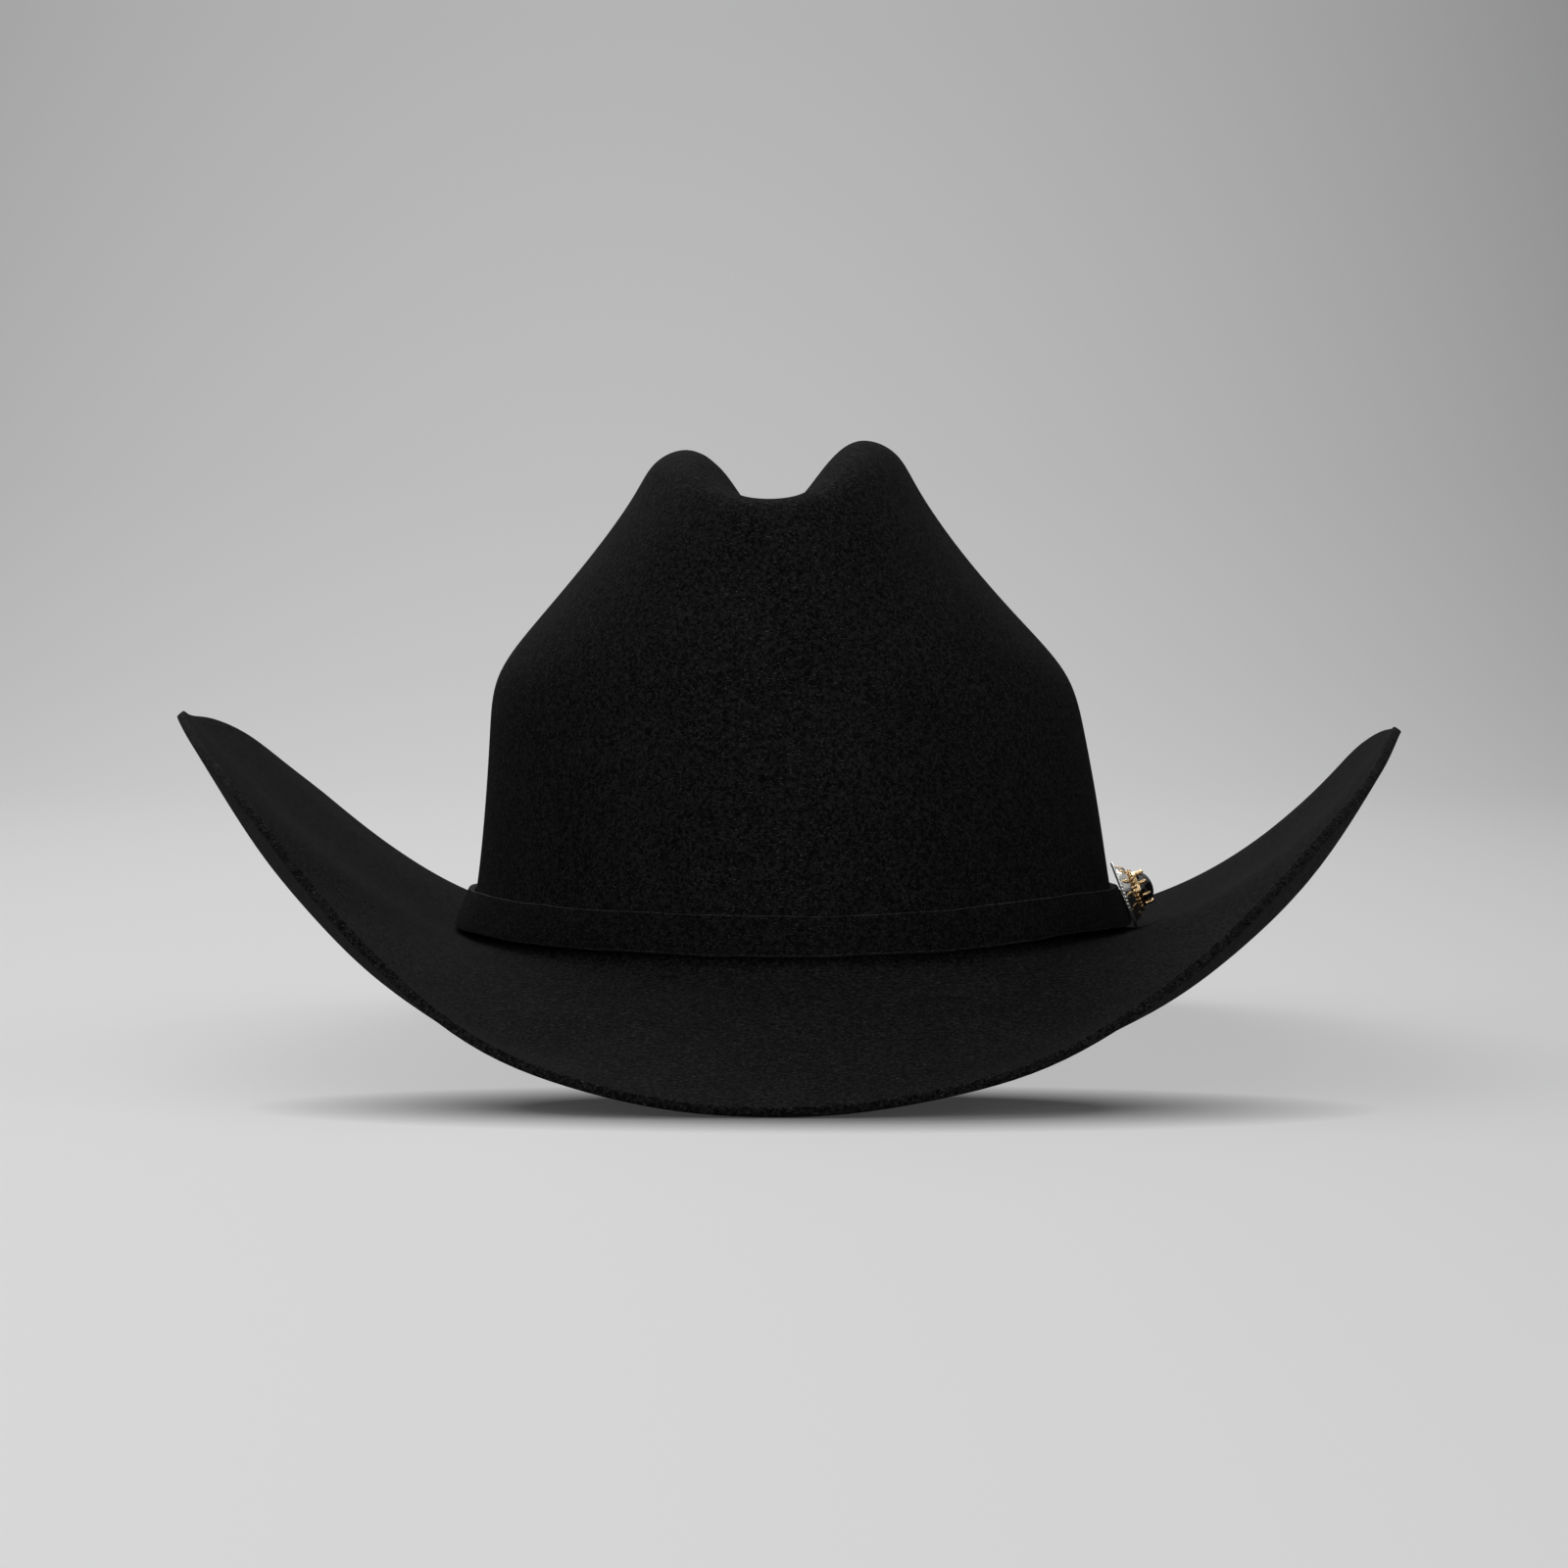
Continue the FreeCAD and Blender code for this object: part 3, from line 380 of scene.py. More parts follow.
def grid_faces(rows, columns, closed_rows=False, closed_columns=True):
    faces = []
    for i in range(rows if closed_rows else rows - 1):
        a, b = i * columns, ((i + 1) % rows) * columns
        for j in range(columns if closed_columns else columns - 1):
            k = (j + 1) % columns
            faces.append((a + j, b + j, b + k, a + k))
    return faces


def tube_faces(rings, sides):
    """Faces of a closed tube made of rings of points."""
    ends = [tuple(range(sides)), tuple(range((rings - 1) * sides, rings * sides))[::-1]]
    return grid_faces(rings, sides) + ends


def bar_faces(count, columns):
    """Faces of a bar with closed ends; each of its count lines of points runs along it."""
    total = count * columns
    ends = [tuple(range(0, total, columns))[::-1], tuple(range(columns - 1, total, columns))]
    return grid_faces(count, columns, closed_rows=True, closed_columns=False) + ends


def slab_faces(rows, columns):
    """Faces of a slab: a grid of points on top, the same below it, and the walls between."""
    total = rows * columns
    top = grid_faces(rows, columns, closed_columns=False)
    bottom = [tuple(index + total for index in face[::-1]) for face in top]
    rim = list(range(columns)) + [i * columns + columns - 1 for i in range(1, rows)]
    rim += [(rows - 1) * columns + j for j in range(columns - 2, -1, -1)]
    rim += [i * columns for i in range(rows - 2, 0, -1)]
    return top + bottom + [(a, b, b + total, a + total) for a, b in zip(rim, rim[1:] + rim[:1])]


def merged_crease(faces, first, columns):
    """Joins the two passes along a centre line, whose row of points starts at first."""
    def join(index):
        if first <= index < first + columns:
            j = index - first
            return first + min(j, (columns - j) % columns)
        return index

    joined = []
    for face in faces:
        corners = list(dict.fromkeys(join(index) for index in face))
        if len(corners) > 2:
            joined.append(tuple(corners))
    return joined


def without_loose(points, faces):
    used = sorted({index for face in faces for index in face})
    place = {index: k for k, index in enumerate(used)}
    return points[used], [tuple(place[index] for index in face) for face in faces]


def sheet_between(name, node, upper, edge, lower, slot):
    """Thin domed piece from two skins that end on the centre line, with any rows round its edge."""
    rows = np.array([*upper[::-1], *edge, *lower])
    count, columns = rows.shape[:2]
    faces = merged_crease(grid_faces(count, columns), 0, columns)
    faces = merged_crease(faces, (count - 1) * columns, columns)
    points, faces = without_loose(rows.reshape(-1, 3), faces)
    return new_piece(name, node, points, faces, slot)


def ring_piece(name, node, rows, slot):
    """Closed ring from rows of points that go round its section."""
    rows = np.asarray(rows)
    return new_piece(name, node, rows, grid_faces(len(rows), rows.shape[1], closed_rows=True), slot)


def split_ring_piece(name, node, rows, start, gap, slot):
    """Ring cut through at a column, with its two ends a gap apart and closed."""
    rows = np.asarray(rows)
    rows = np.concatenate([np.roll(rows, -start, 1), rows[:, start:start + 1]], 1)
    rows[:, 0] += unit(rows[:, 1] - rows[:, 0]) * gap / 2
    rows[:, -1] += unit(rows[:, -2] - rows[:, -1]) * gap / 2
    return new_piece(name, node, rows, bar_faces(*rows.shape[:2]), slot)


def rounded_section(width, height, radius, long_steps, corner_steps=4):
    """Points of a rounded rectangle from (0, 0) to (width, height), going round once."""
    points = []
    corners = ((width, 0, -90), (width, height, 0), (0, height, 90), (0, 0, 180))
    for k, (x, z, start) in enumerate(corners):
        cx, cz = (radius if x == 0 else x - radius), (radius if z == 0 else z - radius)
        for i in range(corner_steps + 1):
            angle = math.radians(start + 90 * i / corner_steps)
            points.append((cx + radius * math.cos(angle), cz + radius * math.sin(angle)))
        if k in (0, 2):
            low, high = (radius, height - radius) if k == 0 else (height - radius, radius)
            for i in range(1, long_steps):
                points.append((x, low + (high - low) * i / long_steps))
    return points


def lathe(outline, columns, change=None):
    """Points and faces of a turned form about +Z; the outline starts and ends on the axis."""
    angles = 2 * math.pi * np.arange(columns) / columns
    rows = []
    for radius, height in outline[1:-1]:
        r, z = np.full(columns, float(radius)), np.full(columns, float(height))
        if change:
            r, z = change(r, z, angles)
        rows.append(np.stack([r * np.cos(angles), r * np.sin(angles), z], 1))
    count = len(rows)
    points = np.concatenate([np.concatenate(rows), [(0, 0, outline[0][1]), (0, 0, outline[-1][1])]])
    faces = [face[::-1] for face in grid_faces(count, columns)]
    first, last = count * columns, count * columns + 1
    for j in range(columns):
        k = (j + 1) % columns
        faces.append((first, k, j))
        faces.append((last, (count - 1) * columns + j, (count - 1) * columns + k))
    return points, faces


# ---- felt body ----
def hand_blocked(rows):
    """Slight waviness of a hand-blocked hat, nowhere near the band."""
    x, y, z = np.moveaxis(rows, -1, 0)
    angle = np.arctan2(y / OVAL_END, x / OVAL_SIDE)
    off_wall = np.hypot(x / OVAL_SIDE, y / OVAL_END)
    brim = smooth_step(off_wall, 1.2, 1.7)
    crown = smooth_step(z, 30.0, 60.0) * (off_wall < 1.05)
    wave = 0.55 * brim * uneven(angle, (5, 9, 16, 23), 1.7) + 0.35 * crown * uneven(angle, (4, 7, 13), 0.9)
    moved = rows.copy()
    moved[..., 2] += wave * brim
    moved[..., 0] += 0.8 * wave * crown * np.sign(x) * smooth_step(np.abs(x), 5.0, 30.0)
    return moved


def felt_edge(top, bottom, steps=6, bulge=0.55):
    """Rows that carry the skin round the raw-cut edge, nearly square with softened corners."""
    out = unit((top[0] - top[1]) + (bottom[0] - bottom[1]))
    rows = []
    for k in range(1, steps):
        angle = math.pi * k / steps
        across = math.copysign(abs(math.cos(angle)) ** 0.6, math.cos(angle))
        middle, half = (top[0] + bottom[0]) / 2, (top[0] - bottom[0]) / 2
        rows.append(middle + half * across + out * bulge * math.sin(angle) ** 0.6)
    return np.array(rows)


def make_felt_body():
    upper, lower = hand_blocked(OUTER), hand_blocked(INNER)
    edge = felt_edge(upper, lower)
    body = sheet_between("felt_shell", "felt_body", upper, edge, lower, "felt")
    count, columns = upper.shape[:2]
    first = (count - 1) * columns
    second_material(body, "cut_felt", range(first, first + (len(edge) + 1) * columns))


# ---- band ----
def band_corners():
    """Loops of the band's back at its top and bottom edge, and of its front at the same edges."""
    near = np.exp(-((np.arange(COLUMNS) - LEFT_COLUMN) / 2.0) ** 2)
    flare = BAND_FLARE + (BAND_FLARE_CONCHO - BAND_FLARE) * near
    back_top = wall_loop(OUTER_LOOPS, BAND_BOTTOM + BAND_HEIGHT + brim_line_height(ANGLES), BAND_GAP)
    back_bottom = moved_out(back_top, flare, -BAND_HEIGHT)
    tilt = math.atan2(BAND_FLARE, BAND_HEIGHT)
    out, up = BAND_THICKNESS * math.cos(tilt), BAND_THICKNESS * math.sin(tilt)
    return back_top, back_bottom, moved_out(back_top, out, up), moved_out(back_bottom, out, up)


BAND_BACK_TOP, BAND_BACK_BOTTOM, BAND_FRONT_TOP, BAND_FRONT_BOTTOM = band_corners()
JOIN_PLACE = LEFT_COLUMN + COLUMNS * JOIN_ANGLE / 360


def make_hatband():
    basis = round_basis(ROUND)
    angle = directions(len(basis))
    rows = []
    section = rounded_section(BAND_THICKNESS, BAND_HEIGHT, 0.3, 8)
    for across, along in section:
        back = between(BAND_BACK_BOTTOM, BAND_BACK_TOP, along / BAND_HEIGHT)
        front = between(BAND_FRONT_BOTTOM, BAND_FRONT_TOP, along / BAND_HEIGHT)
        row = basis @ between(back, front, across / BAND_THICKNESS)
        top = along / BAND_HEIGHT
        shift = 0.22 * (top * uneven(angle, (7, 17, 31), 2.1) + (1 - top) * uneven(angle, (9, 19, 37), 0.6))
        puff = 0.12 * math.sin(math.pi * top) * (1 + uneven(angle, (11, 23), 1.1))
        rows.append(moved_out(row, puff * (1 if across > BAND_THICKNESS / 2 else 0), shift))
    band = split_ring_piece("felt_band", "hatband", rows, round(JOIN_PLACE * ROUND), JOIN_GAP, "band_felt")
    at_edge = [min(along, BAND_HEIGHT - along) < 0.2 for across, along in section]
    cut_rows = [k for k, near in enumerate(at_edge) if near and at_edge[(k + 1) % len(section)]]
    second_material(band, "cut_band", [k * len(basis) + j for k in cut_rows for j in range(len(basis))])


# ---- threads ----
def thread_stitch(start, end, lift, height):
    """Two-ply stitch that rises out of the work and dips back in; lift points out of the surface."""
    rings, sides, ply_pitch = 11, 10, 1.3
    along = end - start
    length = np.linalg.norm(along)
    along, lift = along / length, unit(lift)
    side = np.cross(along, lift)
    points = []
    for i in range(rings):
        place = 2 * i / (rings - 1) - 1
        rise = height * (1 - place ** 6) - 0.25 * place ** 6
        centre = (start + end) / 2 + along * (length / 2 * place) + lift * rise
        for j in range(sides):
            angle = 2 * math.pi * j / sides
            ply = 0.9 + 0.14 * math.cos(2 * angle - 2 * math.pi * place * length / (2 * ply_pitch))
            radius = THREAD * ply * (1 - 0.25 * place ** 8)
            points.append(centre + radius * (math.cos(angle) * lift + math.sin(angle) * side))
    return points, tube_faces(rings, sides)


def joined(parts):
    points, faces = [], []
    for part_points, part_faces in parts:
        faces += [tuple(index + len(points) for index in face) for face in part_faces]
        points += list(part_points)
    return points, faces


def running_stitches(name, node, loop, count, slot, inwards, slack=0.0):
    """Stitches round a loop, each lying on the side that inwards says."""
    parts = []
    for i in range(count):
        point, way, out = loop_frame(loop, COLUMNS * (i + 0.5) / count)
        lift = -out if inwards else out
        half = way * (STITCH_LENGTH / 2 * (1 + 0.05 * math.sin(2.3 * i)))
        centre = point + np.array([0, 0, 0.06 * math.sin(1.7 * i)])
        parts.append(thread_stitch(centre - half, centre + half, lift, THREAD + THREAD_LIFT + slack))
    new_piece(name, node, *joined(parts), slot)


def zigzag_stitches(name, node, low, high, place, reach, count, slot, inwards):
    """Crossing stitches that climb a join from one loop to another."""
    parts = []
    for i in range(count):
        point, way, out = loop_frame(between(low, high, (i + 0.5) / count), place)
        rise = (high[int(place)] - low[int(place)]) * (0.3 / count)
        side = way * (reach if i % 2 else -reach)
        lift = -out if inwards else out
        parts.append(thread_stitch(point - side - rise, point + side + rise, lift, THREAD + 0.15))
    new_piece(name, node, *joined(parts), slot)


# ---- concho ----
CONCHO_JOINT = frame["joints"][0]
CONCHO_AXIS = unit(np.array(CONCHO_JOINT["axis"], float))
CONCHO_CENTRE = np.array(CONCHO_JOINT["pos_m"], float) / MM - FRAME_SHIFT


def on_axis(points):
    """Points made about +Z, with z = 0 at the back of the plate, moved onto the concho's axis."""
    side = unit(np.cross(CONCHO_AXIS, (0, 0, 1)))
    up = np.cross(side, CONCHO_AXIS)
    points = np.asarray(points, float)
    return (CONCHO_CENTRE + points[:, :1] * side + points[:, 1:2] * up
            + (points[:, 2:] + CONCHO_CLEARANCE) * CONCHO_AXIS)


def dome_height(radius):
    outer = CONCHO_RADIUS - RIM_WIDTH
    part = np.clip((outer - radius) / (outer - DOME_RADIUS), 0, 1)
    foot = RIM_HEIGHT - RIM_STEP
    return foot + (DOME_HEIGHT - foot) * np.sin(part * math.pi / 2)


def make_concho_plate():
    """Domed plate with a rope-twist rim and rays engraved between the leaves."""
    outer = CONCHO_RADIUS - RIM_WIDTH
    outline = [(0, 0), (4, 0), (CONCHO_RADIUS - RIM_ROUND, 0)]
    for k in range(1, 12):
        angle = math.pi * (k / 12 - 0.5)
        outline.append((CONCHO_RADIUS - 0.4 + 0.4 * math.cos(angle), 0.45 + 0.45 * math.sin(angle)))
    outline += [(CONCHO_RADIUS - 0.45, RIM_HEIGHT), (outer + 0.12, RIM_HEIGHT - 0.05), (outer + 0.04, 0.55)]
    outline += [(radius, float(dome_height(radius))) for radius in np.linspace(outer, DOME_RADIUS, 22)]
    outline += [(4.8, DOME_HEIGHT), (0, DOME_HEIGHT)]

    def engraved(r, z, angles):
        rope = np.cos(54 * angles + 2.2 * z[0])
        on_rim = smooth_step(r[0], outer + 0.3, CONCHO_RADIUS - 0.1)
        off_ray = np.abs(((angles * PETALS / (2 * math.pi) + 0.5) % 1) - 0.5) * 2 * math.pi / PETALS * r[0]
        on_dome = smooth_step(r[0], 5.9, 6.3) * (1 - smooth_step(r[0], 7.9, 8.2))
        ray = np.exp(-(off_ray / 0.16) ** 2) + 0.5 * np.exp(-((off_ray - 0.55) / 0.12) ** 2)
        twist = on_rim * rope
        return r + 0.09 * twist * (r[0] > 8), z + 0.05 * twist * (z[0] > 0.4) - 0.16 * ray * on_dome

    points, faces = lathe(outline, 432, engraved)
    plate = new_piece("concho_dome", "concho_plate", on_axis(points), faces, "silver", "concho")
    radii = np.hypot(points[:, 0], points[:, 1])
    # The rim gets a lighter, less stained silver than the dome: a painted highlight that keeps the rim line
    # bright
    second_material(plate, "bright_silver",
                    [k for k, face in enumerate(faces) if radii[list(face)].mean() > outer + 0.1])


def leaf(angle):
    """Pointed leaf with a vein, lying on the dome."""
    along_steps, across_steps = 16, 12
    points = []
    for i in range(along_steps + 1):
        s = 2 * i / along_steps - 1
        width = 0.72 * math.cos(math.pi / 2 * s) ** 0.8 * (1 - 0.25 * s) + 0.01
        radius = PETAL_CIRCLE + 0.95 * s
        for j in range(across_steps + 1):
            t = 2 * j / across_steps - 1
            vein = 0.16 * math.exp(-(t / 0.16) ** 2)
            rib = 0.05 * math.cos(9 * (s * 1.6 + abs(t)))
            body = math.cos(math.pi / 2 * t) ** 0.6 if abs(t) < 1 else 0.0
            swell = 0.32 * math.cos(math.pi / 2 * s) ** 0.5 if abs(s) < 1 else 0.0
            height = (0.12 + swell) * body - 0.12 - (vein - rib) * body * swell * 2
            points.append((radius, width * t, float(dome_height(radius)) + height))
    points += [(x, y, float(dome_height(x)) - 0.35) for x, y, z in points]
    c, s = math.cos(angle), math.sin(angle)
    turned = [(x * c - y * s, x * s + y * c, z) for x, y, z in points]
    return turned, slab_faces(along_steps + 1, across_steps + 1)


def make_concho_leaves():
    points, faces = joined([leaf(2 * math.pi * i / PETALS) for i in range(PETALS)])
    new_piece("concho_leaves", "concho_relief", on_axis(points), faces, "gold", "concho")


# ---- sweatband ----
def leather_off(level):
    """Gap between the felt and the back of the leather, with its bends eased."""
    heights, gaps = zip(*SWEATBAND_LEVELS)
    return float(np.mean(np.interp(np.linspace(level - 1.2, level + 1.2, 7), heights, gaps)))


def leather_face(level):
    return inside_loop(level, leather_off(level) + LEATHER)


def make_sweatband():
    low, high = SWEATBAND_LEVELS[0][0], SWEATBAND_LEVELS[-1][0]
    basis = round_basis(ROUND)
    angle = directions(len(basis))
    rows = []
    for across, along in rounded_section(LEATHER, high - low, 0.5, 46):
        level = low + along
        groove = 0.28 * (math.exp(-((level - 51.5) / 0.5) ** 2) + math.exp(-((level - 8.5) / 0.5) ** 2))
        ripple = 0.25 * smooth_step(level, 10, 50) * (1 + uneven(angle, (6, 11, 19), 1.9))
        inner = groove if across > LEATHER / 2 else 0.0
        row = basis @ inside_loop(level, leather_off(level))
        rows.append(moved_out(row, inner - across - ripple, 0.15 * uneven(angle, (5, 9), 0.4)))
    split_ring_piece("leather_sweatband", "sweatband", rows[::-1], BACK_COLUMN * ROUND, SWEATBAND_GAP,
                     "leather")


def make_reed_tape():
    """Tape wrapped round the reed, open where it is sewn to the felt."""
    centre = round_basis(ROUND) @ inside_loop(REED_LEVEL, REED_OFFSET)
    rows = []
    for radius, turn in ((REED_RADIUS + REED_COVER + 0.05, 1), (REED_RADIUS + 0.1, -1)):
        steps = 18
        for k in range(steps + 1)[::turn]:
            angle = math.radians(40 + 280 * k / steps)
            rows.append(moved_out(centre, radius * math.cos(angle), radius * math.sin(angle)))
    ring_piece("reed_tape", "reed_cover", rows, "tape")


def ribbon_loop(side, tail):
    """One loop of the bow, or the tail below it, as a strip with thickness, in the bow's own axes."""
    steps, thick, depth = 28, 0.32, 2.9
    middle = []
    for k in range(steps + 1):
        if tail:
            t = k / steps
            middle.append((side * (0.6 + 3.4 * t + 0.5 * math.sin(5 * t)), -0.4 - 6.0 * t))
        else:
            t = 2 * math.pi * k / steps
            middle.append((side * (3.9 - 3.1 * math.cos(t)), 1.9 * math.sin(t) * (1 - 0.35 * math.cos(t))))
    middle = np.array(middle)
    way = np.gradient(middle, axis=0)
    normal = unit(np.stack([way[:, 1], -way[:, 0]], 1))
    rows = []
    for offset, inward in ((-0.5, 0), (0.5, 0), (0.5, 1), (-0.5, 1)):
        line = middle + normal * thick * offset
        droop = 0.25 * np.sin(np.linspace(0, math.pi, steps + 1)) * inward
        rows.append(np.stack([line[:, 0], np.full(steps + 1, -depth * inward), line[:, 1] - droop], 1))
    faces = bar_faces(len(rows), steps + 1)
    return np.concatenate(rows), [face[::-1] for face in faces] if side > 0 else faces


def bow_knot():
    """The ribbon's turn round the middle of the bow, as a squeezed drum."""
    columns, count = 20, 12
    points = []
    for i in range(count):
        for j in range(columns):
            angle = 2 * math.pi * j / columns
            along = 2 * i / (count - 1) - 1
            squeeze = 1 + 0.12 * along ** 2 + 0.05 * math.cos(3 * angle + 2 * along)
            x = 0.95 * abs(math.cos(angle)) ** 0.5 * math.copysign(1, math.cos(angle)) * squeeze
            y = 1.75 * abs(math.sin(angle)) ** 0.6 * math.copysign(1, math.sin(angle)) * squeeze - 1.6
            points.append((x, y, 1.25 * along))
    return points, [face[::-1] for face in tube_faces(count, columns)]


def make_bow():
    parts = [ribbon_loop(side, tail) for tail in (False, True) for side in (-1, 1)]
    points, faces = joined(parts + [bow_knot()])
    point, way, out = loop_frame(leather_face(5.0), BACK_COLUMN)
    points = np.array(points)
    placed = point - out * 0.8 + points[:, :1] * -way + points[:, 1:2] * out + points[:, 2:] * (0, 0, 1)
    new_piece("ribbon_bow", "sweatband_bow", placed, faces, "ribbon")


def make_tag():
    """Blank woven tag with folded ends, a little proud of the leather."""
    wide, tall, thick = TAG_SIZE
    columns, count = 48, 20
    back, front = [], []
    for i in range(count + 1):
        z = tall * (i / count - 0.5)
        loop = leather_face(TAG_LEVEL + z)
        reach = (loop[LEFT_COLUMN, 0] - loop[-LEFT_COLUMN, 0]) / 2
        for j in range(columns + 1):
            x = -TAG_SIDE - wide * j / columns
            place = BACK_COLUMN - COLUMNS * math.asin(x / reach) / (2 * math.pi)
            point, way, out = loop_frame(loop, place)
            edge = min(j, columns - j) / columns * wide
            fold = 0.22 * (1 - smooth_step(edge, 2.4, 2.8))
            rim = min(1.0, min(edge, min(i, count - i) / count * tall) / 0.25)
            swell = 0.12 * math.sin(0.9 * z) * math.sin(0.35 * j)
            back.append(point - out * 0.45)
            front.append(point - out * (0.5 + (thick + fold + swell) * rim ** 0.5))
    faces = slab_faces(count + 1, columns + 1)
    tag = new_piece("woven_tag", "sweatband_tag", front + back, faces, "tag_cloth")


# ---- lining ----
def make_lining_side():
    """Satin wall with soft gathers that deepen towards the tip."""
    basis = round_basis(FINE)
    angle = directions(len(basis))
    phase = 104 * angle + 2.4 * np.sin(5 * angle + 1.0) + 1.6 * np.sin(13 * angle + 0.4)
    heights, gaps = zip(*LINING_LEVELS)
    levels = np.linspace(heights[0], heights[-1], 22)
    outside, inside = [], []
    for level in levels:
        part = (level - heights[0]) / (heights[-1] - heights[0])
        lean = phase + 1.1 * np.sin(3 * angle + 6 * part)
        gather = (0.5 + 0.5 * np.sin(lean)) * (0.08 + 0.5 * part ** 1.3)
        row = basis @ wall_loop(INNER_LOOPS, level, -np.interp(level, heights, gaps))
        outside.append(moved_out(row, -gather))
        inside.append(moved_out(row, -gather - LINING))
    side = ring_piece("satin_side", "lining_side", (outside + inside[::-1])[::-1], "satin")


def shrunk(loop, fraction, rise):
    """The control loop drawn in towards its middle line and raised."""
    middle = (loop[0] + loop[BACK_COLUMN]) / 2
    across = (loop[LEFT_COLUMN] + loop[-LEFT_COLUMN]) / 2
    length = (loop[BACK_COLUMN, 1] - loop[0, 1] - loop[LEFT_COLUMN, 0] + loop[-LEFT_COLUMN, 0]) / 2
    core = np.stack([np.full(COLUMNS, across[0]), middle[1] + length * np.sin(ANGLES), loop[:, 2]], 1)
    return core + (loop - core) * fraction + (0, 0, rise)


def make_lining_tip():
    """Domed oval of satin, puckered where it is sewn to the side."""
    edge = wall_loop(INNER_LOOPS, LINING_LEVELS[-1][0], -TIP_INSET)
    basis = round_basis(12)
    angle = directions(len(basis))
    upper, lower = [], []
    for fraction in np.linspace(1, 0, 20):
        row = basis @ shrunk(edge, fraction, TIP_RISE * (1 - fraction ** 2))
        pucker = 0.28 * smooth_step(fraction, 0.55, 0.97) * np.sin(86 * angle + 2 * np.sin(4 * angle))
        soft = 0.5 * (1 - fraction) * uneven(angle, (2, 3, 5), 1.3) * fraction
        upper.append(row + np.outer(pucker + soft, (0, 0, 1)))
        lower.append(upper[-1] - (0, 0, LINING))
    tip = sheet_between("satin_tip", "lining_tip", upper, [], lower, "satin")


def make_piping():
    """Cord covered in bias-cut satin, with the twist of its wrapping."""
    level, away = LINING_LEVELS[-1]
    drop = PIPING_RADIUS + LINING + 0.2
    centre = round_basis(FINE) @ wall_loop(INNER_LOOPS, level - drop, -away - drop - 0.1)
    columns = np.arange(len(centre))
    rows = []
    for angle in 2 * math.pi * np.arange(PIPING_SIDES) / PIPING_SIDES:
        wrapping = np.cos(2 * angle + 2 * math.pi * PIPING_TWISTS * columns / len(centre))
        radius = PIPING_RADIUS * 0.95 * (1 + 0.07 * wrapping)
        rows.append(moved_out(centre, radius * math.cos(angle), radius * math.sin(angle)))
    ring_piece("satin_piping", "lining_piping", rows[::-1], "piping")


# ---- materials ----
BLACK = (0.0, 0.0, 0.0)


class Nodes:
    """Short way to write a material's node tree."""

    def __init__(self, name):
        self.material = bpy.data.materials.new(name)
        self.material.use_nodes = True
        self.tree = self.material.node_tree
        self.shader = self.tree.nodes["Principled BSDF"]
        self.place = self.add("ShaderNodeTexCoord", {}, "Object")

    def add(self, kind, sockets, output=0, **settings):
        """Adds a node, links or sets its inputs, and gives one of its outputs."""
        node = self.tree.nodes.new(kind)
        for key, value in settings.items():
            setattr(node, key, value)
        for key, value in sockets.items():
            if isinstance(value, bpy.types.NodeSocket):
                self.tree.links.new(value, node.inputs[key])
            else:
                coloured = node.inputs[key].type == "RGBA"
                node.inputs[key].default_value = (*value, 1) if coloured else value
        return node.outputs[output]

    def set(self, key, source):
        self.tree.links.new(source, self.shader.inputs[key])

    def constant(self, **values):
        for key, value in values.items():
            self.shader.inputs[key.replace("_", " ")].default_value = value

    def noise(self, scale, detail=2.0, rough=0.5, place=None, distortion=0.0):
        return self.add("ShaderNodeTexNoise", {
            "Vector": place or self.place, "Scale": scale, "Detail": detail, "Roughness": rough,
            "Distortion": distortion}, "Fac")

    def cells(self, scale, feature="F1"):
        return self.add("ShaderNodeTexVoronoi", {"Vector": self.place, "Scale": scale}, "Distance",
                        feature=feature)

    def bands(self, pitch, direction, place=None, distortion=0.0):
        """Soft stripes a pitch apart, in metres."""
        return self.add("ShaderNodeTexWave", {
            "Vector": place or self.place, "Scale": 2 * math.pi / 20 / pitch, "Distortion": distortion},
            "Fac", wave_type="BANDS", bands_direction=direction)

    def mapped(self, scale, rotation=(0, 0, 0)):
        return self.add("ShaderNodeMapping", {"Vector": self.place, "Scale": scale, "Rotation": rotation})

    def axis(self, name):
        return self.add("ShaderNodeSeparateXYZ", {0: self.place}, name)

    def wrapped(self):
        """Distance round the crown, height, and nothing, in metres."""
        across = self.math("MULTIPLY", self.axis("X"), OVAL_END / OVAL_SIDE)
        angle = self.math("ARCTAN2", self.axis("Y"), across)
        along = self.math("MULTIPLY", angle, (OVAL_END + OVAL_SIDE) / 2 * MM)
        return self.add("ShaderNodeCombineXYZ", {0: along, 1: self.axis("Z")})

    def ramp(self, source, stops):
        node = self.tree.nodes.new("ShaderNodeValToRGB")
        self.tree.links.new(source, node.inputs["Fac"])
        elements = node.color_ramp.elements
        while len(elements) < len(stops):
            elements.new(1.0)
        for element, (position, colour) in zip(elements, stops):
            element.position = position
            element.color = (*colour, 1)
        return node.outputs["Color"]

    def math(self, operation, a, b=0.0):
        return self.add("ShaderNodeMath", {0: a, 1: b}, operation=operation)

    def mix(self, factor, a, b):
        return self.add("ShaderNodeMix", {0: factor, 6: a, 7: b}, 2, data_type="RGBA")

    def span(self, source, low, high, to_low=0.0, to_high=1.0):
        return self.add("ShaderNodeMapRange", {
            "Value": source, "From Min": low, "From Max": high, "To Min": to_low, "To Max": to_high})

    def colour(self, source):
        self.set("Base Color", source)

    def roughness(self, source):
        self.set("Roughness", source)

    def bump(self, height, strength, distance):
        self.set("Normal", self.add("ShaderNodeBump", {
            "Height": height, "Strength": strength, "Distance": distance}, "Normal"))


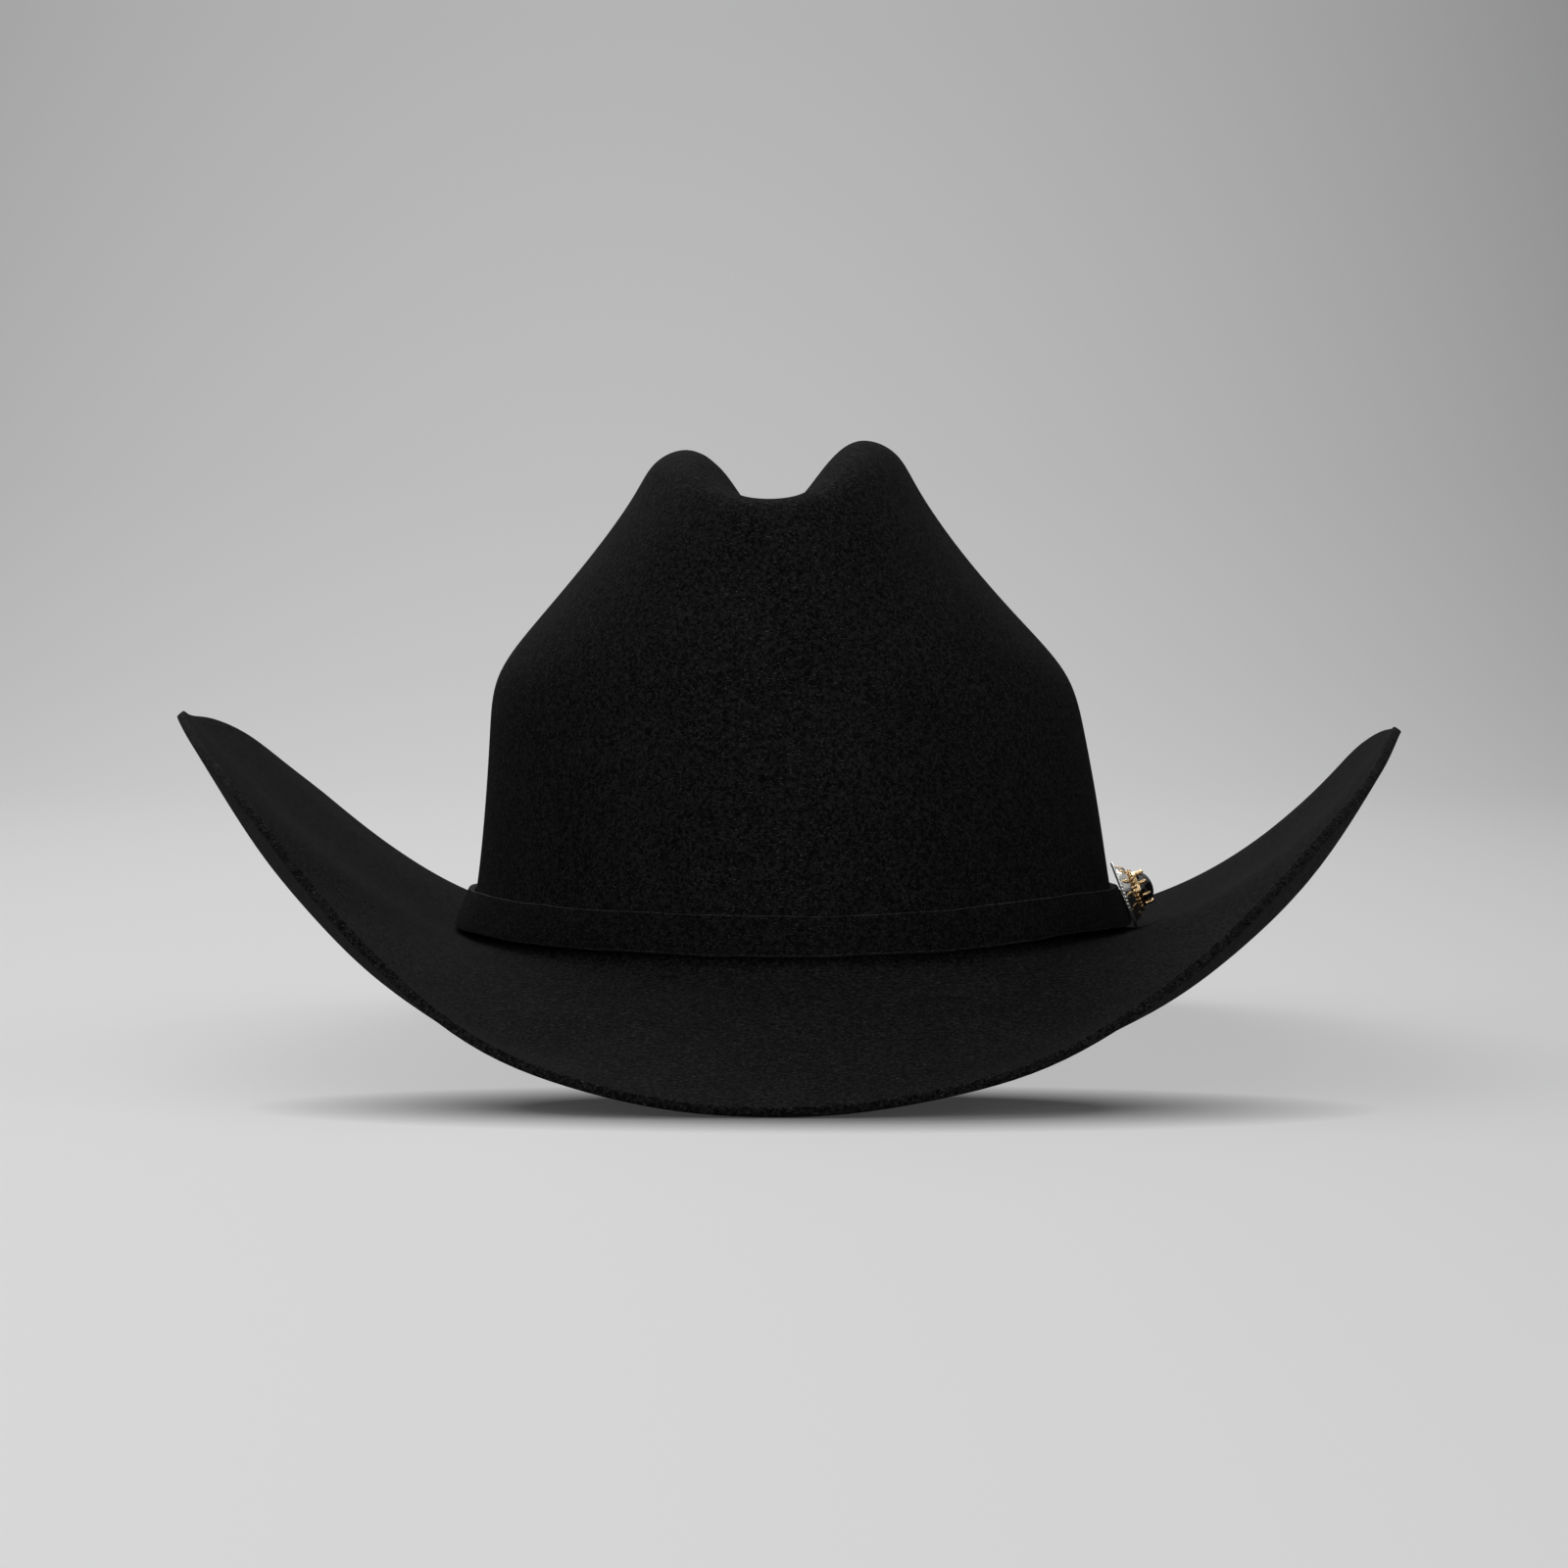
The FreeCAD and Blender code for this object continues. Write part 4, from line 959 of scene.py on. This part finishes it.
def felt_material(n, dark, light, speck, sheen=0.003):
    """Matt fur felt: cloudy near-black wool, fine grain, and short pale fibres lying every way."""
    clouds = n.noise(35.0, 3.0, 0.6)
    grain = n.noise(2600.0, 3.0, 0.7)
    nap = n.noise(950.0, 3.0, 0.7, distortion=0.6)
    tone = n.mix(n.span(clouds, 0.3, 0.7), dark, light)
    tone = n.mix(n.span(nap, 0.42, 0.62), n.mix(0.5, tone, BLACK), n.mix(0.14, tone, speck))
    tone = n.mix(n.span(grain, 0.35, 0.72), n.mix(0.4, tone, BLACK), tone)
    fibres = None
    for turn in ((0.3, 0.2, 0.5), (1.5, 0.4, 1.2), (0.7, 1.4, 2.3)):
        streak = n.noise(1.0, 1.0, 0.5, n.mapped((700.0, 5200.0, 5200.0), turn))
        streak = n.span(streak, 0.70, 0.78)
        fibres = streak if fibres is None else n.math("MAXIMUM", fibres, streak)
    n.colour(n.mix(fibres, tone, speck))
    n.roughness(n.span(grain, 0.3, 0.7, 0.85, 0.98))
    n.constant(Specular_IOR_Level=0.02, Sheen_Weight=sheen, Sheen_Roughness=0.5)
    n.shader.inputs["Sheen Tint"].default_value = (0.85, 0.85, 0.88, 1)
    n.bump(n.math("ADD", n.math("ADD", grain, nap), n.math("MULTIPLY", fibres, 0.6)), 0.5, 0.0005)


def thread_material(n, dark, light):
    """Twisted sewing thread with stray lint along it."""
    ply = n.noise(4200.0, 2.0, 0.6)
    tone = n.mix(n.span(n.noise(160.0, 2.0), 0.35, 0.65), dark, light)
    n.colour(n.mix(n.span(ply, 0.35, 0.7), n.mix(0.4, tone, BLACK), tone))
    n.roughness(n.span(ply, 0.3, 0.7, 0.5, 0.75))
    n.constant(Specular_IOR_Level=0.4, Sheen_Weight=0.15)
    n.bump(ply, 0.4, 0.0001)


def metal_material(n, colour, stain, rough, wear_scale, hammer):
    """Plated metal: fine polishing scratches, dark stain in blotches, duller where it is stained."""
    blotch = n.noise(wear_scale, 5.0, 0.65)
    scratch = n.noise(1.0, 2.0, 0.6, n.mapped((900.0, 9000.0, 9000.0), (0.4, 0.9, 0.3)))
    n.colour(n.mix(n.span(blotch, 0.52, 0.72), colour, stain))
    dull = n.span(blotch, 0.45, 0.75, rough, rough + 0.12)
    n.roughness(n.math("ADD", dull, n.math("MULTIPLY", n.span(scratch, 0.55, 0.8), 0.08)))
    n.constant(Metallic=1.0)
    n.bump(n.math("ADD", blotch, n.math("MULTIPLY", scratch, 0.1)), 0.5, hammer)


def onyx_material(n):
    """Polished black stone with faint grey bands."""
    veins = n.bands(0.0026, "DIAGONAL", distortion=6.0)
    n.colour(n.ramp(veins, [
        (0.0, (0.004, 0.004, 0.005)), (0.75, (0.009, 0.009, 0.011)), (1.0, (0.04, 0.04, 0.045))]))
    n.roughness(n.span(n.noise(1800.0, 2.0), 0.3, 0.7, 0.04, 0.1))
    n.constant(Specular_IOR_Level=0.6, Coat_Weight=0.4, Coat_Roughness=0.03)
    n.bump(n.noise(700.0, 2.0), 0.03, 0.00005)


def leather_material(n):
    """Smooth brown sweatband leather: pores, fine creases, darker where it was handled."""
    pores = n.cells(1500.0)
    creases = n.cells(420.0, "DISTANCE_TO_EDGE")
    cloud = n.noise(28.0, 4.0, 0.6)
    tone = n.ramp(cloud, [
        (0.3, (0.10, 0.045, 0.02)), (0.5, (0.16, 0.075, 0.034)), (0.72, (0.21, 0.105, 0.05))])
    n.colour(n.mix(n.span(creases, 0.0, 0.12, 0.55, 0.0), tone, (0.05, 0.02, 0.01)))
    n.roughness(n.span(cloud, 0.3, 0.7, 0.42, 0.6))
    n.constant(Specular_IOR_Level=0.45, Coat_Weight=0.08, Coat_Roughness=0.35)
    n.bump(n.math("ADD", n.math("MULTIPLY", pores, 0.4), n.span(creases, 0.0, 0.2)), 0.35, 0.00018)


def woven_material(n, dark, light, pitch, sheen, wrapped=True, ribs=False):
    """Woven cloth or ribbon: threads over and under, or grosgrain ribs, with uneven dye."""
    place = n.wrapped() if wrapped else n.place
    warp = n.bands(pitch, "X", place, 0.3)
    weft = n.bands(pitch, "Y" if wrapped else "Z", place, 0.3)
    weave = warp if ribs else n.math("MULTIPLY", warp, weft)
    dye = n.noise(60.0, 3.0)
    fuzz = n.noise(3000.0, 2.0, 0.7)
    tone = n.mix(n.span(dye, 0.35, 0.65), dark, light)
    tone = n.mix(n.span(weave, 0.0, 0.6, 0.55, 0.0), tone, BLACK)
    n.colour(n.mix(n.span(fuzz, 0.55, 0.8, 0.0, 0.25), tone, light))
    n.roughness(n.span(fuzz, 0.3, 0.7, 0.7, 0.9))
    n.constant(Specular_IOR_Level=0.25, Sheen_Weight=sheen)
    n.bump(n.math("ADD", weave, n.math("MULTIPLY", fuzz, 0.2)), 0.5, pitch * 0.3)


def satin_material(n, dark, light):
    """Satin: long floats that catch the light along their length, and faint slubs."""
    place = n.wrapped()
    floats = n.bands(0.00022, "Y", place, 1.5)
    slubs = n.noise(1.0, 2.0, 0.6, n.mapped((60.0, 60.0, 900.0)))
    cloud = n.noise(24.0, 3.0)
    tone = n.mix(n.span(cloud, 0.35, 0.65), dark, light)
    n.colour(n.mix(n.span(slubs, 0.6, 0.75, 0.0, 0.35), tone, dark))
    n.roughness(n.span(floats, 0.0, 1.0, 0.26, 0.42))
    n.constant(Specular_IOR_Level=0.7, Sheen_Weight=0.2, Anisotropic=0.55)
    n.bump(n.math("ADD", n.math("MULTIPLY", floats, 0.3), slubs), 0.12, 0.0001)


def film_material(n):
    """Clear flexible film with faint scuffs."""
    scuffs = n.noise(90.0, 5.0, 0.7, distortion=1.2)
    n.colour(n.mix(n.span(scuffs, 0.4, 0.6), (0.93, 0.93, 0.9), (0.98, 0.98, 0.97)))
    n.roughness(n.span(scuffs, 0.35, 0.7, 0.02, 0.1))
    n.constant(Transmission_Weight=1.0, IOR=1.4)
    n.bump(n.noise(40.0, 2.0), 0.08, 0.0003)


def reed_material(n):
    haze = n.noise(220.0, 4.0, 0.6)
    n.colour(n.mix(n.span(haze, 0.35, 0.65), (0.5, 0.48, 0.42), (0.62, 0.6, 0.54)))
    n.roughness(n.span(haze, 0.3, 0.7, 0.35, 0.5))
    n.bump(n.noise(1200.0, 2.0), 0.1, 0.0001)


MATERIAL_KINDS = (
    ("felt", felt_material, (0.0055, 0.0055, 0.006), (0.0095, 0.0095, 0.010), (0.085, 0.085, 0.085)),
    ("band_felt", felt_material, (0.005, 0.005, 0.0055), (0.008, 0.008, 0.0085), (0.06, 0.06, 0.06)),
    ("cut_felt", felt_material, (0.006, 0.006, 0.0065), (0.01, 0.01, 0.0105), (0.09, 0.09, 0.09)),
    ("cut_band", felt_material, (0.03, 0.03, 0.031), (0.05, 0.05, 0.051), (0.2, 0.2, 0.2), 0.05),
    ("black_thread", thread_material, (0.012, 0.012, 0.012), (0.03, 0.03, 0.032)),
    ("tan_thread", thread_material, (0.30, 0.19, 0.09), (0.42, 0.28, 0.15)),
    ("satin_thread", thread_material, (0.38, 0.31, 0.2), (0.5, 0.42, 0.29)),
    ("silver", metal_material, (0.93, 0.91, 0.87), (0.3, 0.26, 0.21), 0.06, 260.0, 0.0004),
    ("gold", metal_material, (0.85, 0.6, 0.32), (0.09, 0.045, 0.015), 0.06, 900.0, 0.0002),
    # bright_silver is the rim's lighter, less stained silver, a painted highlight
    ("bright_silver", metal_material, (0.97, 0.96, 0.94), (0.8, 0.78, 0.74), 0.3, 500.0, 0.00006),
    ("steel", metal_material, (0.58, 0.57, 0.55), (0.35, 0.33, 0.31), 0.22, 500.0, 0.00006),
    ("onyx", onyx_material),
    ("leather", leather_material),
    ("reed_plastic", reed_material),
    ("tape", woven_material, (0.012, 0.012, 0.012), (0.03, 0.03, 0.03), 0.0006, 0.1),
    ("ribbon", woven_material, (0.012, 0.012, 0.014), (0.028, 0.028, 0.03), 0.0005, 0.15, False, True),
    ("tag_cloth", woven_material, (0.46, 0.40, 0.30), (0.58, 0.52, 0.41), 0.00045, 0.1, False),
    ("satin", satin_material, (0.42, 0.34, 0.23), (0.56, 0.47, 0.33)),
    ("piping", satin_material, (0.12, 0.07, 0.04), (0.2, 0.12, 0.07)),
    ("clear_film", film_material),
)


def material_of(name, make, *values):
    n = Nodes(name)
    make(n, *values)
    return n.material


MATERIALS = {kind[0]: material_of(*kind) for kind in MATERIAL_KINDS}

CAD_FINISHES = {
    "concho_beads": "gold", "stone_setting": "gold", "onyx_stone": "onyx",
    "concho_post": "steel", "concho_washer": "steel", "concho_screw": "steel",
    "sweatband_reed": "reed_plastic", "tip_shield": "clear_film",
}


def finish_cad_nodes():
    for node, slot in CAD_FINISHES.items():
        for material_slot in frame["nodes"][node].material_slots:
            material_slot.material = MATERIALS[slot]


# ---- stage ----
def make_camera():
    data = bpy.data.cameras.new("camera")
    data.lens, data.sensor_width = CAMERA_LENS, CAMERA_SENSOR
    data.clip_start, data.clip_end = 0.05, 50.0
    turn, lift = math.radians(CAMERA_AZIMUTH), math.radians(CAMERA_ELEVATION)
    away = Vector((math.sin(turn) * math.cos(lift), -math.cos(turn) * math.cos(lift), math.sin(lift)))
    bpy.context.scene.camera = in_scene("camera", data, CAMERA_TARGET + away * CAMERA_DISTANCE, -away)


def make_stage():
    """Pale floor that sweeps up into a backdrop on every side far from the hat. It glows as painted light,
    less up the wall and towards both sides, and has a painted contact shadow under the front edge.
    """
    profile = [(radius, 0.0) for radius in STAGE_RINGS]
    for angle in math.pi / 2 * np.arange(STAGE_BEND_STEPS + 1) / STAGE_BEND_STEPS:
        across, up = STAGE_BEND * (1 - math.sin(angle)), STAGE_BEND * (1 - math.cos(angle))
        profile.append((STAGE_HALF - across, up))
    profile.append((STAGE_HALF, STAGE_TOP))
    angles = 2 * math.pi * np.arange(STAGE_SIDES) / STAGE_SIDES
    points = [(r * math.cos(angle), r * math.sin(angle), z) for r, z in profile for angle in angles]
    faces = grid_faces(len(profile), STAGE_SIDES)
    faces += [(len(points), j, (j + 1) % STAGE_SIDES) for j in range(STAGE_SIDES)]
    n = Nodes("studio")
    x, y, z = [n.axis(name) for name in "XYZ"]
    glow = n.ramp(n.span(z, 0.0, WALL_FADE), [
        (place, (level, level, level * 1.01)) for place, level in WALL_GLOW])
    off_middle = n.math("POWER", n.math("SUBTRACT", x, SIDE_MIDDLE), 2.0)
    side_loss = n.math("MINIMUM", n.math("MULTIPLY", off_middle, SIDE_LOSS), 1 - SIDE_LEAST)
    # Painted contact shadow: an oval under the front edge that darkens the glow towards black
    squares = [n.math("POWER", n.math("MULTIPLY", n.math("SUBTRACT", place, middle), 1 / half), 2.0)
               for place, middle, half in zip((x, y), PAINTED_SHADOW_MIDDLE, PAINTED_SHADOW_HALF)]
    under = n.span(n.math("POWER", n.math("ADD", *squares), 0.5), PAINTED_SHADOW_CORE, 1.0, 1.0, 0.0)
    glow = n.mix(n.math("MULTIPLY", under, PAINTED_SHADOW_DIM), n.mix(side_loss, glow, BLACK), BLACK)
    n.set("Emission Color", glow)
    n.constant(Emission_Strength=1.0, Roughness=0.9, Specular_IOR_Level=0.1)
    n.colour(n.mix(n.span(n.noise(3.0), 0.3, 0.7, 0.0, 0.02), (0.16, 0.16, 0.16), (0.2, 0.2, 0.2)))
    smooth_mesh("studio_sweep", points + [(0.0, 0.0, 0.0)], faces, n.material)


def make_lights():
    world = bpy.data.worlds.new("studio")
    world.use_nodes = True
    world.node_tree.nodes["Background"].inputs["Color"].default_value = (1, 1, 1, 1)
    world.node_tree.nodes["Background"].inputs["Strength"].default_value = WORLD_STRENGTH
    bpy.context.scene.world = world
    for name, towards, power, softness in SUNS:
        data = bpy.data.lights.new(name, "SUN")
        data.energy, data.angle = power, math.radians(softness)
        in_scene(name, data, facing=-Vector(towards))
    for name, place, aim, size, power in AREA_LIGHTS:
        data = bpy.data.lights.new(name, "AREA")
        data.shape, data.energy = "RECTANGLE", power
        data.size, data.size_y = size
        in_scene(name, data, place, Vector(aim) - Vector(place))


make_camera()
make_stage()
make_lights()
bpy.context.scene.view_settings.view_transform = "Standard"

make_felt_body()
make_hatband()
zigzag_stitches("band_join_thread", "hatband_join_stitches",
                between(BAND_FRONT_BOTTOM, BAND_FRONT_TOP, JOIN_SEWN[0]),
                between(BAND_FRONT_BOTTOM, BAND_FRONT_TOP, JOIN_SEWN[1]),
                JOIN_PLACE, 1.1, JOIN_STITCHES, "black_thread", False)
make_concho_plate()
make_concho_leaves()
make_sweatband()
make_reed_tape()
running_stitches("sewing_thread", "sweatband_sewing", leather_face(SEWING_LEVEL), SEWING_COUNT,
                 "black_thread", True)
running_stitches("leather_stitches", "sweatband_stitches", leather_face(STITCH_LEVEL), STITCH_COUNT,
                 "tan_thread", True)
zigzag_stitches("back_seam_thread", "sweatband_back_seam", leather_face(SEAM_LOW), leather_face(SEAM_HIGH),
                BACK_COLUMN, 1.6, SEAM_STITCHES, "tan_thread", True)
make_bow()
make_tag()
make_lining_side()
make_lining_tip()
make_piping()
running_stitches("lining_thread", "lining_stitches",
                 wall_loop(INNER_LOOPS, LINING_LEVELS[-1][0] - LINING_STITCH_DROP, -1.5 - LINING),
                 LINING_STITCH_COUNT, "satin_thread", True, 0.25)
finish_cad_nodes()
